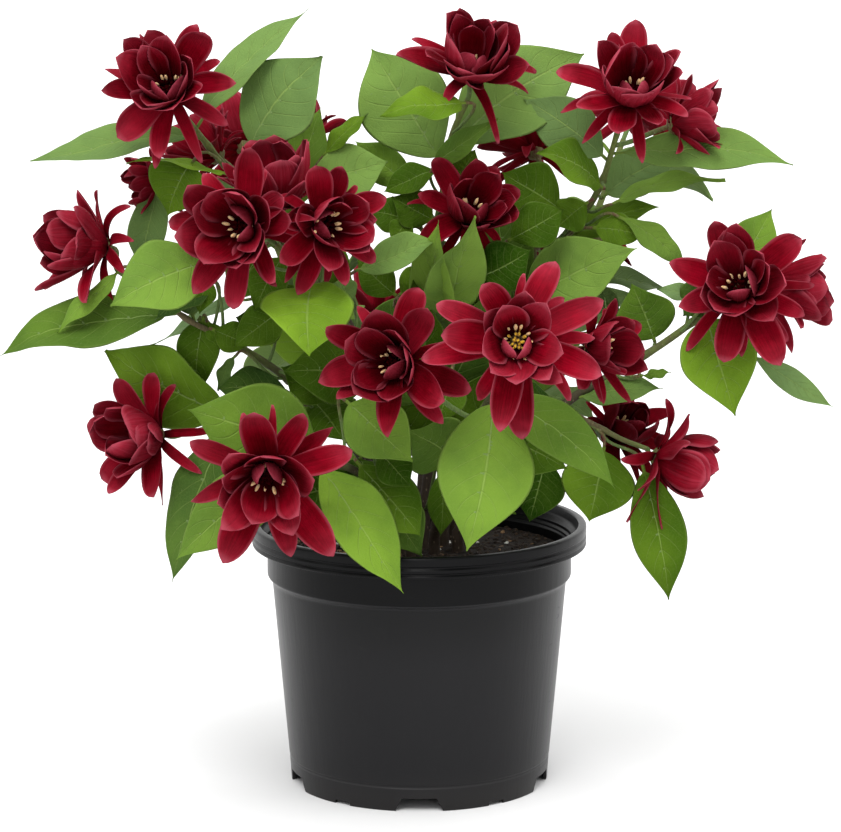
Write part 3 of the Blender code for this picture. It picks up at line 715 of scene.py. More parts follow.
def leaf_green():
    """Leaf: green above, its lightness partly its own tone and partly painted shade, with a greyish
    painted sheen and painted shade over one half; paler and greyer below, with light veins and a
    quilted surface.
    """
    f = Finish("leaf_green", Specular_IOR_Level=0.016)
    across, along, face = f.split(f.attribute("blade"))
    light, painted_sheen, lean = f.split(f.attribute("tone"))
    wide = f.positive(across)
    under = f.drop(face, -0.05, 0.0)
    lane = f.maths("FRACT", (along - VEIN_SLANT * wide ** VEIN_CURVE) * VEIN_PAIRS)
    vein = f.drop(f.maths("PINGPONG", lane, 0.5), 0.01, 0.07)
    vein = vein * f.fade(along, 0.06, 0.14) * f.drop(wide, 0.5, 0.95)
    midrib = f.drop(wide, 0.010, 0.040)
    net = f.drop(f.cells(f.here, 420.0), 0.0, 0.12)
    patch = f.lumps(f.here, 38.0, 3.0, 0.6)
    fleck = f.lumps(f.here, 520.0, 3.0, 0.6)
    # The leaf's lightness: partly its own tone, partly painted shade for leaves deep in the shrub.
    lit = f.maths("ADD", light, (f.lumps(f.here, 22.0, 1.0) - 0.5) * 0.5, clamp=True)
    f.colour = f.blend(lit, (0.010, 0.032, 0.0008), (0.158, 0.274, 0.0190))
    deeper_green_and_shade = f.blend(0.55, f.colour, (0.012, 0.045, 0.0015))
    f.coat(f.fade(patch, 0.40, 0.75) * 0.50, deeper_green_and_shade)
    # Painted shade over one half of the blade, as where the folded leaf turns from the light; the
    # tone's third value picks the half.
    f.coat(f.fade(across * lean, -0.05, 0.30) * 0.42, deeper_green_and_shade)
    # Painted sheen: a greyish wash, as light glancing off the upper face.
    f.coat(painted_sheen * 0.85, (0.135, 0.208, 0.098))
    paler = f.blend(0.55, f.colour, (0.130, 0.190, 0.082))
    f.coat(under, paler)
    bright = f.blend(0.55, f.colour, (0.250, 0.350, 0.090))
    f.coat(f.largest(midrib * 0.60, vein * 0.26), bright)
    f.coat(net * 0.08, bright)
    f.coat(f.fade(wide, 0.90, 1.0) * 0.40, bright)
    f.coat(f.fade(fleck, 0.62, 0.8) * 0.12, deeper_green_and_shade)
    petiole = f.drop(along, 0.05, 0.10)
    f.coat(petiole * 0.6, (0.120, 0.165, 0.030))
    height = (vein * -1.0) - midrib * 1.5 + net * -0.25 + patch
    return f.finished(height, 0.0007, 0.6, f.between(fleck, 0.42, 0.62))


def crimson_velvet():
    """Tepal: deep crimson, dark at its foot with painted shade in the throat, rosy with painted
    velvet sheen at the tips and on the outside, rosy painted highlights along the rims, and painted
    shade over flowers that sit in shade.
    """
    f = Finish("crimson_velvet", 0.6, Specular_IOR_Level=0.008, Sheen_Weight=0.02,
               Sheen_Roughness=0.4, Sheen_Tint=(1.0, 0.16, 0.26, 1.0))
    across, along, face = f.split(f.attribute("blade"))
    order, tone, painted_flower_shade = f.split(f.attribute("whorl"))
    wide = f.positive(across)
    outside = f.drop(face, -0.05, 0.0)
    streak = f.lumps(f.join(across * 5.0 + tone * 20.0, along * 0.8, order * 9.0), 3.0, 3.0, 0.6)
    rib = f.fade(f.lumps(f.join(across * 5.0, along * 0.7, tone * 9.0), 2.0, 2.0, 0.6), 0.40, 0.70)
    cloud = f.lumps(f.here, 55.0, 3.0, 0.6)
    depth = f.maths("ADD", f.fade(streak, 0.25, 0.8) * 0.45, f.fade(cloud, 0.3, 0.7) * 0.55)
    f.colour = f.blend(depth, (0.092, 0.0005, 0.0028), (0.252, 0.0019, 0.0118))
    # Rosy: partly the tepal's own rosy tone on its outside, partly painted velvet sheen on tips,
    # ribs and outer faces.
    rosy_tone_and_sheen = f.fade(along, 0.60, 1.0) * cloud * 0.36 + f.fade(tone, 0.60, 1.0) * 0.07
    rosy_tone_and_sheen = rosy_tone_and_sheen + outside * f.between(rib, 0.04, 0.20) * f.fade(along, 0.05, 0.6)
    rosy_tone_and_sheen = rosy_tone_and_sheen + f.fade(order, 0.93, 0.96) * outside * 0.24
    rosy_tone_and_sheen = f.maths("MULTIPLY", rosy_tone_and_sheen, f.between(painted_flower_shade, 1.2, 0.30), clamp=True)
    f.coat(rosy_tone_and_sheen, (0.450, 0.056, 0.094))
    # Dark foot: partly the tepal's own dark base, partly painted shade deep in the throat, reaching
    # far up inside the bowl tepals.
    foot = f.drop(along, 0.02, f.between(f.fade(order, 0.45, 0.75), 0.30, 0.85))
    f.coat(foot * f.between(outside, 0.90, 0.25), (0.014, 0.0003, 0.0009))
    # Darker: a random tone for each tepal, and painted shade for flowers that sit in shade.
    dark_tone_and_painted_shade = f.drop(tone, 0.0, 0.45) * 0.26 + painted_flower_shade * 0.50
    f.coat(f.maths("MINIMUM", dark_tone_and_painted_shade, 0.80), (0.026, 0.0003, 0.0012))
    # Painted highlight along the rims and tips, as light catching the tepal's edges.
    rim = f.largest(f.fade(wide, 0.74, 1.0), f.fade(along, 0.89, 1.0))
    rim = rim * f.fade(along, 0.2, 0.55) * f.between(cloud, 0.55, 1.20)
    f.coat(rim * f.between(painted_flower_shade, 0.52, 0.14), (0.430, 0.095, 0.130))
    nap = f.lumps(f.here, 1500.0, 2.0, 0.6)
    return f.finished(streak * 1.4 + rib * 0.5 + nap * 0.4, 0.0006, 0.55)


def anther(name, dark, light):
    f = Finish(name, 0.7, Specular_IOR_Level=0.3, Sheen_Weight=0.2)
    dusty = f.lumps(f.here, 900.0, 3.0, 0.6)
    f.colour = f.blend(f.fade(dusty, 0.3, 0.65), dark, light)
    return f.finished(dusty, 0.0004, 0.6)


def studio_floor():
    f = Finish("studio_floor", 0.9, Specular_IOR_Level=0.1)
    cloud = f.lumps(f.here, 1.3, 2.0, 0.5)
    f.colour = f.blend(cloud, (0.61, 0.61, 0.61), (0.62, 0.62, 0.62))
    return f.finished()


FINISHES = {
    "pot": pot_plastic("pot_plastic", 0.20, (0.0042, 0.0041, 0.0048), (0.0064, 0.0063, 0.0072)),
    # The lip and band: a darker copy of the pot plastic, painted shade where the foliage above
    # shades them.
    "rim": pot_plastic("pot_rim_plastic", 0.11, (0.0012, 0.0012, 0.0014), (0.0026, 0.0026, 0.0030)),
    "soil": potting_mix(),
    "crumb": grit("compost_crumb", (0.005, 0.003, 0.002), (0.042, 0.025, 0.014), 300.0),
    "perlite": grit("perlite", (0.48, 0.46, 0.42), (0.86, 0.85, 0.81), 500.0),
    "chip": grit("bark_chip", (0.060, 0.030, 0.014), (0.300, 0.180, 0.090), 260.0),
    "cane": bark("cane_bark", (0.028, 0.018, 0.011), (0.110, 0.145, 0.030), (0.17, 0.13, 0.085)),
    "twig": bark("green_twig", (0.070, 0.055, 0.024), (0.120, 0.170, 0.040), (0.20, 0.19, 0.10)),
    "stalk": bark("flower_stalk", (0.075, 0.120, 0.030), (0.085, 0.020, 0.016), (0.20, 0.16, 0.10)),
    "leaf": leaf_green(),
    "tepal": crimson_velvet(),
    "anther": anther("anther_cream", (0.80, 0.44, 0.17), (1.0, 0.74, 0.40)),
    "heart": anther("golden_heart", (0.42, 0.22, 0.006), (0.90, 0.58, 0.030)),
    "floor": studio_floor(),
}


# ---- trees

def tube_parts(t, sides):
    """Tube along the source's points, as thick as their girth, with knots and uneven bark."""
    run = t.make("MeshToCurve", Mesh=t.source)
    way = t.make("SplineParameter")
    girth = t.stored("girth", "FLOAT")
    run = t.store(run, "stem", t.join(way.out("Length"), way.out("Factor"), girth))
    ring = t.make("CurvePrimitiveCircle", Resolution=sides, Radius=1.0)
    tube = t.make("CurveToMesh", Curve=run, Profile_Curve=ring, Scale=girth, Fill_Caps=True)
    along, _, width = t.split(t.stored("stem"))
    gap = t.maths("PINGPONG", along + 0.011, t["Knot spacing"] * 0.5)
    knot = t.drop(gap, 0.0008, 0.0042)
    here = t.make("InputPosition")
    rough = (t.lumps(here, 240.0, 3.0, 0.6) - 0.5) * t["Unevenness"]
    swell = width * (knot * t["Knot swell"] + rough)
    out = t.scaled(t.make("InputNormal"), swell)
    return t.make("SetPosition", Geometry=tube, Offset=out)


def stem_tree():
    t = Tree("Stem", {"Sides": 16, "Knot spacing": 0.042, "Knot swell": 0.34, "Unevenness": 0.30,
                      "Bark": FINISHES["cane"]})
    return t.close(t.painted(tube_parts(t, t["Sides"]), t["Bark"]))


def leaf_tree():
    """One leaf lying along Y with its upper face to Z: petiole, folded and quilted blade."""
    t = Tree("Leaf blade", {
        "Length": 0.09, "Width": 0.05, "Arch": 0.07, "Bend": 0.0, "Fold": 0.24, "Droop": 0.12,
        "Sway": 0.0, "Twist": 0.0, "Wave": 0.0012, "Belly": USUAL_BELLY / 100, "Light": 0.5,
        "Painted sheen": 0.0, "Seed": 0, "Knot spacing": 1.0, "Knot swell": 0.0, "Unevenness": 0.20,
        "Shoot": FINISHES["stalk"], "Finish": FINISHES["leaf"]})
    shoot = t.painted(tube_parts(t, 8), t["Shoot"])
    shell = t.shell(*LEAF_GRID)
    x, face, z = t.split(t.make("InputPosition"))
    across = x * t.positive(x) ** 0.5
    shell = t.store(shell, "blade", t.join(across, z + 0.5, face))
    # Tone: lightness with painted shade, painted sheen, and the side of the blade given painted
    # shade.
    shell = t.store(shell, "tone", t.join(t["Light"], t["Painted sheen"], t.swing(5.0, 6, 1.0)))
    across, along, face = t.split(t.stored("blade"))
    length, width = t["Length"], t["Width"]
    wide = t.positive(across)
    blade = t.largest((along - PETIOLE_SHARE) / (1.0 - PETIOLE_SHARE), 0.0)
    edge = t.between(along, PETIOLE_HALF, TIP_HALF)
    belly = t["Belly"] + t.swing(1.0, 8, 0.09)
    bulge = t.sin(t.maths("MINIMUM", blade ** belly, 1.0) * math.pi)
    bulge = t.largest(bulge, 0.0) ** (0.74 + 0.56 * blade)
    half = t.largest(edge, width * 0.5 * bulge)
    side = across * half
    leafy = t.fade(along, 0.03, 0.12)
    thick = t.between(leafy, PETIOLE_THICK, BLADE_THICK) * t.between(along, 1.0, 0.6)
    rise = t["Arch"] * length * 4.0 * along * (1.0 - along)
    rise = rise + t["Bend"] * length * t.sin(along * (2.0 * math.pi))
    fold = t["Fold"] * (t.maths("SQRT", side * side + 0.000001) - 0.001)
    droop = t["Droop"] * side * side / (width * 0.5)
    lane = (along - VEIN_SLANT * wide ** VEIN_CURVE) * (VEIN_PAIRS * math.pi)
    quilt = t.positive(t.sin(lane)) ** 0.7 * (1.0 - across * across)
    quilt = quilt * leafy * t.fade(half, 0.001, 0.012) * QUILT_DEPTH
    rib = t.drop(wide, 0.0, 0.12) * leafy * t.between(along, 1.0, 0.2)
    rib = rib * t.maths("SIGN", face) * RIB_DEPTH
    phase = t.chance(1.0, 3) * (2.0 * math.pi)
    ripple = t.sin(along * 15.0 + phase + t.maths("SIGN", across) * 1.9)
    wave = t["Wave"] * across * across * ripple * leafy
    sag = (t.lumps(t.join(side, along * length, phase), 38.0, 1.0) - 0.5) * 0.006 * leafy
    turn = t["Twist"] * (along - 0.4) * side
    height = rise + fold - droop + quilt + rib + wave + sag + turn + face * thick
    sway = t["Sway"] * length * 4.0 * along * (1.0 - along)
    shell = t.place(shell, t.join(side + sway, along * length, height))
    return t.close(shoot, t.painted(shell, t["Finish"]))


def whorl_parts(t):
    """Tepals on a spiral. From the outside in: a skirt of narrow ones that turn back, broad open
    ones, a bowl of deeply cupped ones and a few small ones that close over the heart."""
    last = t.maths("SUBTRACT", t["Tepals"], 1)
    buds = t.make("Points", Count=t["Tepals"])
    buds = t.store(buds, "order", t.make("InputIndex") / last, "FLOAT")
    x, face, z = t.split(t.make("InputPosition"))
    blade = t.store(t.shell(*TEPAL_GRID), "blade", t.join(x, 1.0 - (0.5 - z) ** 1.25, face))
    whorl = t.make("InstanceOnPoints", Points=buds, Instance=blade)
    whorl = t.make("RealizeInstances", Geometry=whorl)
    across, along, face = t.split(t.stored("blade"))
    order = t.stored("order", "FLOAT")
    number = t.maths("ROUND", order * last)
    # The whorl's third value is the flower's painted shade.
    whorl = t.store(whorl, "whorl", t.join(order, t.chance(number, 1), t["Painted flower shade"]))
    spread, opening, full = t["Spread"], t["Opening"], t["Length"]
    broad, bowl = t.fade(order, 0.18, 0.30), t.fade(order, 0.50, 0.62)
    inmost = last - number
    heart = t.drop(inmost, 1.4, 1.6)

    def graded(skirt_value, broad_value, bowl_value, heart_value):
        value = t.between(bowl, t.between(broad, skirt_value, broad_value), bowl_value)
        return t.between(heart, value, heart_value)

    def stray(channel, *reach):
        """A random amount for each tepal, of one reach for all or one for each whorl."""
        if len(reach) == 1:
            return t.swing(number, channel, *reach)
        return t.swing(number, channel, 1.0) * graded(*reach)

    length = full * graded(0.80, 0.95, 0.96 - 0.40 * opening * opening, 0.60 - 0.18 * opening)
    length = length * (1.0 + stray(2, 0.12))
    half = length * graded(0.140, 0.240, 0.330 + 0.06 * opening, 0.430)
    half = half * (1.0 + stray(3, 0.15))
    point = graded(2.0, 2.9, 4.4, 4.4) + stray(12, 0.8)
    blunt = 0.62 + stray(13, 0.14)
    outline = (0.50 + 0.85 * along) * t.largest(1.0 - along ** point, 0.0) ** blunt
    half = t.largest(half * outline, THINNEST_TEPAL)
    lean = graded(spread * 1.12 + 0.05, spread * 0.86, 1.02 - 0.04 * opening, 1.15)
    lean = lean + stray(4, 0.30, 0.30, 0.17, 0.08)
    bend = graded(t["Reflex"], (spread - 1.15) * 1.4, 0.40 * opening - 1.50,
                  0.50 * opening - 2.5)
    bend = bend + stray(5, 0.45, 0.42, 0.26, 0.20) + 0.011
    angle = lean + bend * along
    reach = length * (t.cos(lean) - t.cos(angle)) / bend
    rise = length * (t.sin(angle) - t.sin(lean)) / bend
    cup = graded(0.75, 0.95, 1.15, 1.35) * (1.0 + stray(6, 0.30))
    cup = cup * (1.0 - 0.45 * along * along)
    sideways = half * t.sin(across * cup) / cup
    hollow = half * (1.0 - t.cos(across * cup)) / cup
    crimp = across * across * t.sin(along * 7.0 + t.chance(number, 7) * 6.3 + across)
    hollow = hollow + crimp * length * 0.022 + face * 0.00035 * t.between(along, 1.6, 0.7)
    curl = stray(8, 0.07) + graded(0.0, 0.04, 0.0, 0.0)
    curl = curl - graded(0.0, 0.0, 0.36, 0.0) * opening
    hollow = hollow + curl * length * along ** 4.0
    twist = stray(9, 0.9, 0.55, 0.25, 0.3) * along
    cos, sin = t.cos(twist), t.sin(twist)
    sway = stray(10, 0.13, 0.07, 0.04, 0.05) * length * along * along
    tangent = sideways * cos - hollow * sin + sway
    lift = sideways * sin + hollow * cos
    out = t.between(order, 0.0050, 0.0034) + reach - lift * t.cos(angle)
    up = t.between(order, 0.0030, 0.0058) + rise + lift * t.sin(angle)
    turn = t["Turn"] + number * GOLDEN_ANGLE
    turn = turn + stray(11, 0.22, 0.18, 0.22, 0.0)
    turn = t.between(heart, turn, t["Heart side"] + (inmost - 0.5) * 1.75)
    cos, sin = t.cos(turn), t.sin(turn)
    spot = t.join(out * cos - tangent * sin, out * sin + tangent * cos, up)
    sag = t["Sag"] * length * along * along * (1.0 - bowl)
    return t.place(whorl, t.vector("ADD", spot, t.scaled(t["Down"], sag)))


def ring_parts(t, count, radius, height, lean, size, channel):
    """A ring of stamens: filaments with plump anthers, leaning outwards."""
    seats = t.make("Points", Count=count)
    number = t.make("InputIndex")
    turn = number * (2.0 * math.pi / count) + t.swing(number, channel, 0.20)
    reach = radius * (1.0 + t.swing(number, channel + 1, 0.15))
    spot = t.join(reach * t.cos(turn), reach * t.sin(turn), height)
    seats = t.place(seats, spot)
    turned = t.join(0.0, lean + t.swing(number, channel + 2, 0.20), turn)
    grade = t.between(t.chance(number, channel + 3), 0.78, 1.15) * size
    return seats, turned, grade


def stamen_parts(t):
    stalk = t.make("MeshCone", Vertices=5, Radius_Top=0.00045, Radius_Bottom=0.0007, Depth=0.0055)
    head = t.make("MeshUVSphere", Segments=8, Rings=6, Radius=1.0)
    head = t.make("Transform", Geometry=head, Translation=(0, 0, 0.0068),
                  Scale=(0.00125, 0.00100, 0.0027))
    parts = []
    opening = t["Opening"]
    rings = ((11, t.between(opening, 0.0034, 0.0062), 0.0068, 0.38, 1.15, 20, "Anther"),
             (10, t.between(opening, 0.0018, 0.0038), 0.0064, 0.16, 1.1, 30, "Heart"),
             (7, t.between(opening, 0.0006, 0.0016), 0.0066, 0.05, 1.0, 40, "Heart"))
    for count, radius, height, lean, size, channel, finish in rings:
        seats, turned, grade = ring_parts(t, count, radius, height, lean, size, channel)
        for shape, paint in ((stalk, "Heart"), (head, finish)):
            parts.append(t.make("InstanceOnPoints", Points=seats,
                                Instance=t.painted(shape, t[paint]), Rotation=turned,
                                Scale=t.join(grade, grade, grade)))
    return parts


def flower_tree():
    t = Tree("Flower", {
        "Tepals": 26, "Length": 0.05, "Spread": 1.2, "Opening": 0.5, "Painted flower shade": 0.0,
        "Turn": 0.0, "Heart side": 0.0, "Reflex": 0.5, "Sag": 0.08, "Down": (0.0, 0.0, -1.0),
        "Knot spacing": 1.0, "Knot swell": 0.0, "Unevenness": 0.10, "Seed": 0,
        "Stalk": FINISHES["stalk"], "Tepal": FINISHES["tepal"],
        "Anther": FINISHES["anther"], "Heart": FINISHES["anther"]})
    stalk = t.painted(tube_parts(t, 12), t["Stalk"])
    whorl = t.painted(whorl_parts(t), t["Tepal"])
    return t.close(stalk, whorl, *stamen_parts(t))


def turned_tree():
    """Turns the source, a half section in the XZ plane, about the Z axis."""
    t = Tree("Turned wall", {"Sides": POT_SIDES, "Unevenness": 0.0, "Finish": FINISHES["pot"],
                             "Upper finish": FINISHES["rim"], "Upper from": 1.0})
    section = t.make("MeshToCurve", Mesh=t.source)
    section = t.store(section, "section", t.make("InputPosition"))
    ring = t.make("CurvePrimitiveCircle", Resolution=t["Sides"], Radius=1.0)
    ring = t.store(ring, "turn", t.make("SplineParameter"), "FLOAT")
    wall = t.make("CurveToMesh", Curve=ring, Profile_Curve=section)
    radius, _, height = t.split(t.stored("section"))
    angle = t.stored("turn", "FLOAT") * (2.0 * math.pi)
    spot = t.join(radius * t.cos(angle), radius * t.sin(angle), height)
    wall = t.make("MergeByDistance", Geometry=t.place(wall, spot), Distance=0.000004)
    here = t.make("InputPosition")
    radius, _, height = t.split(t.stored("section"))
    top = t.fade(height, 0.150, 0.156) * t.drop(radius, 0.094, 0.100)
    heap = t.lumps(here, 45.0, 5.0, 0.62) - 0.5
    offset = t.join(0.0, 0.0, heap * top * t["Unevenness"])
    wall = t.make("SetPosition", Geometry=wall, Offset=offset)
    wall = t.painted(wall, t["Finish"])
    upper = t.maths("GREATER_THAN", height, t["Upper from"])
    wall = t.make("SetMaterial", Geometry=wall, Selection=upper, Material=t["Upper finish"])
    return t.close(wall)


def crumb_tree():
    """Loose bits strewn over the top of the source."""
    t = Tree("Crumbs", {"Density": 9000.0, "Size": 0.0022, "Length ratio": 1.0, "Roundness": 1,
                        "Within": 0.098, "Seed": 0, "Finish": FINISHES["crumb"]})
    x, y, height = t.split(t.make("InputPosition"))
    _, _, tilt = t.split(t.make("InputNormal"))
    top = t.maths("GREATER_THAN", height, 0.1545) * t.maths("GREATER_THAN", tilt, 0.5)
    top = top * t.maths("LESS_THAN", x * x + y * y, t["Within"] ** 2.0)
    seats = t.make("DistributePointsOnFaces", Mesh=t.source, Selection=top, Density=t["Density"],
                   Seed=t["Seed"])
    number = t.make("InputIndex")
    size = t.between(t.chance(number, 1) ** 2.0, 0.45, 1.25) * t["Size"]
    turn = t.join(t.swing(number, 2, 0.5), t.swing(number, 3, 0.5), t.chance(number, 4) * 6.3)
    thickness = t.between(t.chance(number, 5), 0.45, 0.9)
    grade = t.join(size * t["Length ratio"], size, size * thickness)
    bit = t.make("MeshIcoSphere", Radius=1.0, Subdivisions=t["Roundness"])
    bits = t.make("InstanceOnPoints", Points=seats, Instance=bit, Rotation=turn, Scale=grade)
    bits = t.make("RealizeInstances", Geometry=bits)
    here = t.make("InputPosition")
    knock = t.vector("SUBTRACT", t.lumps(here, 430.0, 1.0, out=1), (0.5, 0.5, 0.5))
    bits = t.make("SetPosition", Geometry=bits, Offset=t.scaled(knock, t["Size"] * 1.6))
    return t.close(t.painted(bits, t["Finish"]))


# ---- pot and potting mix

def rounded(corners, steps=4):
    """The section's points with each corner turned into a short arc."""
    points = []
    for index, (radius, height, rounding) in enumerate(corners):
        here = Vector((radius, height))
        if not rounding:
            points.append(here)
            continue
        before = Vector(corners[index - 1][:2]) - here
        after = Vector(corners[index + 1][:2]) - here
        start = here + before.normalized() * min(rounding, before.length * 0.48)
        end = here + after.normalized() * min(rounding, after.length * 0.48)
        for step in range(steps + 1):
            share = step / steps
            points.append(start.lerp(here, share).lerp(here.lerp(end, share), share))
    return points


def polyline(name, points, girths=None):
    """A mesh of edges only, the path or section that a tree builds on."""
    mesh = bpy.data.meshes.new(name)
    mesh.from_pydata([tuple(p) for p in points], [(i, i + 1) for i in range(len(points) - 1)], [])
    if girths is not None:
        layer = mesh.attributes.new("girth", "FLOAT", "POINT")
        layer.data.foreach_set("value", girths)
    return mesh


def section_mesh(name, points):
    return polyline(name, [(radius * MM, 0.0, height * MM) for radius, height in points])


def cutter_object(name, build):
    mesh = bpy.data.meshes.new(name)
    build.to_mesh(mesh)
    build.free()
    return linked(name, mesh)


def foot_block(build, angle, width, top_width, height):
    block = bmesh.ops.create_cube(build, size=1.0)["verts"]
    outward = Vector((math.cos(angle), math.sin(angle), 0.0))
    along = Vector((-math.sin(angle), math.cos(angle), 0.0))
    for vert in block:
        half = (top_width if vert.co.z > 0 else width) / 2
        radius = FOOT_RADIUS + (CUT_OUTWARD if vert.co.x > 0 else -CUT_INWARD)
        level = height if vert.co.z > 0 else -CUT_BELOW
        side = half if vert.co.y > 0 else -half
        vert.co = (outward * radius + along * side + Vector((0, 0, level))) * MM


def foot_cutter():
    build = bmesh.new()
    turn = 2 * math.pi / NOTCH_COUNT
    for index in range(NOTCH_COUNT):
        angle = -math.pi / 2 + index * turn
        foot_block(build, angle, NOTCH_WIDTH, NOTCH_TOP_WIDTH, NOTCH_HEIGHT)
        foot_block(build, angle + turn / 2, STEP_WIDTH, STEP_WIDTH, STEP_HEIGHT)
    return cutter_object("foot_notches", build)


def drain_cutter():
    build = bmesh.new()
    for index in range(NOTCH_COUNT):
        angle = math.pi / 2 + index * 2 * math.pi / NOTCH_COUNT
        hole = bmesh.ops.create_cone(build, cap_ends=True, segments=DRAIN_SIDES,
                                     radius1=DRAIN_RADIUS * MM, radius2=DRAIN_RADIUS * MM,
                                     depth=DRAIN_CUT * MM)
        centre = (DRAIN_CIRCLE * math.cos(angle), DRAIN_CIRCLE * math.sin(angle), FLOOR_UNDERSIDE)
        bmesh.ops.translate(build, verts=hole["verts"], vec=metres(centre))
    return cutter_object("drain_holes", build)


def make_pot(tree):
    source = section_mesh("pot_section", rounded(POT_SECTION))
    cutters = (foot_cutter(), drain_cutter())
    pot = grown("nursery_pot", tree, source, {"Upper from": BAND_FOOT * MM}, cutters)
    return faced(pot, sharp=POT_CREASE)


def soil_points():
    """The root ball's section, with close rings over its open top."""
    corners = [Vector(corner) for corner in SOIL_SECTION]
    points = [corners[0]]
    for start, end in zip(corners[:2], corners[1:3]):
        count = max(1, round((end - start).length / SOIL_ROW))
        points += [start.lerp(end, (step + 1) / count) for step in range(count)]
    return points + corners[3:]


def make_soil(turned, crumbs):
    soil = grown("root_ball", turned, section_mesh("soil_section", soil_points()),
                 {"Sides": SOIL_SIDES, "Unevenness": SOIL_HEAP, "Finish": FINISHES["soil"]})
    faced(soil, sharp=SOIL_CREASE)
    bits = []
    for name, (*amounts, finish) in CRUMBS.items():
        labels = ("Density", "Size", "Length ratio", "Roundness", "Within", "Seed")
        settings = {**dict(zip(labels, amounts)), "Finish": FINISHES[finish]}
        bits.append(faced(grown(name, crumbs, soil.data.copy(), settings)))
    return soil, bits


# ---- stems

def smooth_path(points):
    """Catmull-Rom curve through the points, as a list of closer points."""
    padded = [points[0] * 2 - points[1], *points, points[-1] * 2 - points[-2]]
    path = []
    for index in range(1, len(padded) - 2):
        before, start, end, after = padded[index - 1:index + 3]
        for step in range(STEM_SPAN_STEPS):
            t = step / STEM_SPAN_STEPS
            path.append(0.5 * (2 * start + (end - before) * t
                               + (2 * before - 5 * start + 4 * end - after) * t * t
                               + (3 * start - before - 3 * end + after) * t ** 3))
    path.append(padded[-2])
    return path


class Stem:
    """A tapering stem along a smooth path; other pieces perch on it."""

    def __init__(self, points, foot_radius, tip_radius, upright_from=None):
        self.path = smooth_path([metres(point) for point in points])
        if upright_from is not None:
            self.path.insert(0, metres(upright_from))
        self.foot_radius = foot_radius * MM
        self.tip_radius = tip_radius * MM
        self.lengths = [0.0]
        for start, end in zip(self.path, self.path[1:]):
            self.lengths.append(self.lengths[-1] + (end - start).length)

    def radius(self, share):
        return self.foot_radius + (self.tip_radius - self.foot_radius) * share

    def place(self, share):
        """Point and direction at a share of the stem's length."""
        target = share * self.lengths[-1]
        index = 1
        while index < len(self.path) - 1 and self.lengths[index] < target:
            index += 1
        start, end = self.path[index - 1], self.path[index]
        local = (target - self.lengths[index - 1]) / (end - start).length
        return start.lerp(end, local), (end - start).normalized()

    def perch(self, share, toward):
        """Start of a piece that grows from the bark towards a point, and its first direction."""
        centre, along = self.place(share)
        if share >= 1.0:
            return centre, along
        away = (toward - centre).normalized()
        outward = (away - along * away.dot(along)).normalized()
        start = centre + outward * (self.radius(share) - PERCH_SINK * MM)
        return start, (away + outward).normalized()

    def girths(self):
        return [self.radius(length / self.lengths[-1]) for length in self.lengths]


def make_stems(tree):
    """All canes, then the twigs that they carry."""
    stems, items = {}, {}
    for name, foot_radius, tip_radius, foot, *points in rows(CANES):
        points = [(*foot, SOIL_TOP + LEAD_IN), *points]
        stems[name] = Stem(points, foot_radius, tip_radius, (*foot, SOIL_TOP - CANE_DEPTH))
    for name, carrier, share, foot_radius, tip_radius, *points in rows(TWIGS):
        start, _ = stems[carrier].perch(share / 100, metres(points[0]))
        stems[name] = Stem([tuple(start / MM), *points], foot_radius, tip_radius)
    for name, stem in stems.items():
        source = polyline(name + "_path", stem.path, stem.girths())
        finish = FINISHES[name.split("_")[0]]
        items[name] = faced(grown(name + "_bark", tree, source, {"Bark": finish}))
    return stems, items


# ---- leaves

def leaf_matrix(foot, tip, face):
    """Puts a leaf's foot and tip in place and turns its upper face the given way."""
    along = (tip - foot).normalized()
    side = along.cross(Vector(face)).normalized()
    turn = Matrix((side, along, side.cross(along))).transposed().to_4x4()
    return Matrix.Translation(foot) @ turn


def leaf_object(name, tree, stem, dice, share, tip, width, face, light, painted_sheen, foot=None,
                belly=USUAL_BELLY):
    """One leaf, unlike any other. Where it has its own foot, a shoot carries it."""
    tip = metres(tip)
    seat, _ = stem.perch(share / 100, tip)
    foot = metres(foot) if foot else seat
    matrix = leaf_matrix(foot, tip, face)
    source = bpy.data.meshes.new(name + "_seed")
    if (foot - seat).length > SHORTEST_SHOOT * MM:
        path = stalk_path(stem, share / 100, foot, (tip - foot).normalized()) + [foot]
        girths = [SHOOT_RADIUS * MM] * len(path)
        source = polyline(name + "_shoot", [matrix.inverted() @ point for point in path], girths)
    leaf = grown(name, tree, source, {
        "Length": (tip - foot).length, "Width": width * MM,
        **{label: dice.uniform(*ends) for label, ends in LEAF_RANGES.items()},
        "Belly": belly / 100, "Light": light / 100, "Painted sheen": painted_sheen / 100,
        "Seed": dice.randrange(1000)})
    return faced(leaf, matrix)


def merged(name, items):
    """Several objects as one piece."""
    with bpy.context.temp_override(active_object=items[0], selected_editable_objects=items):
        bpy.ops.object.join()
    items[0].name = name
    items[0].data.name = name
    return items[0]


def make_leaves(tree, stems):
    dice = random.Random(DICE_SEED)
    leaves = {}
    for name, carrier, *row in rows(LEAVES):
        leaves[name] = leaf_object(name + "_blade", tree, stems[carrier], dice, *row)
    groups = {}
    for first, *row in rows(SPRAYS):
        if not row:
            carrier, groups[first] = first, []
        else:
            leaf = leaf_object("spray_leaf", tree, stems[carrier], dice, first, *row)
            groups[carrier].append(leaf)
    sprays = [merged("spray_" + carrier, group) for carrier, group in groups.items()]
    sides = [leaf_object("side_leaf", tree, stems[carrier], dice, *row)
             for carrier, *row in rows(SIDE_LEAVES)]
    sprays.append(merged("spray_sides", sides))
    return leaves, sprays


# ---- flowers

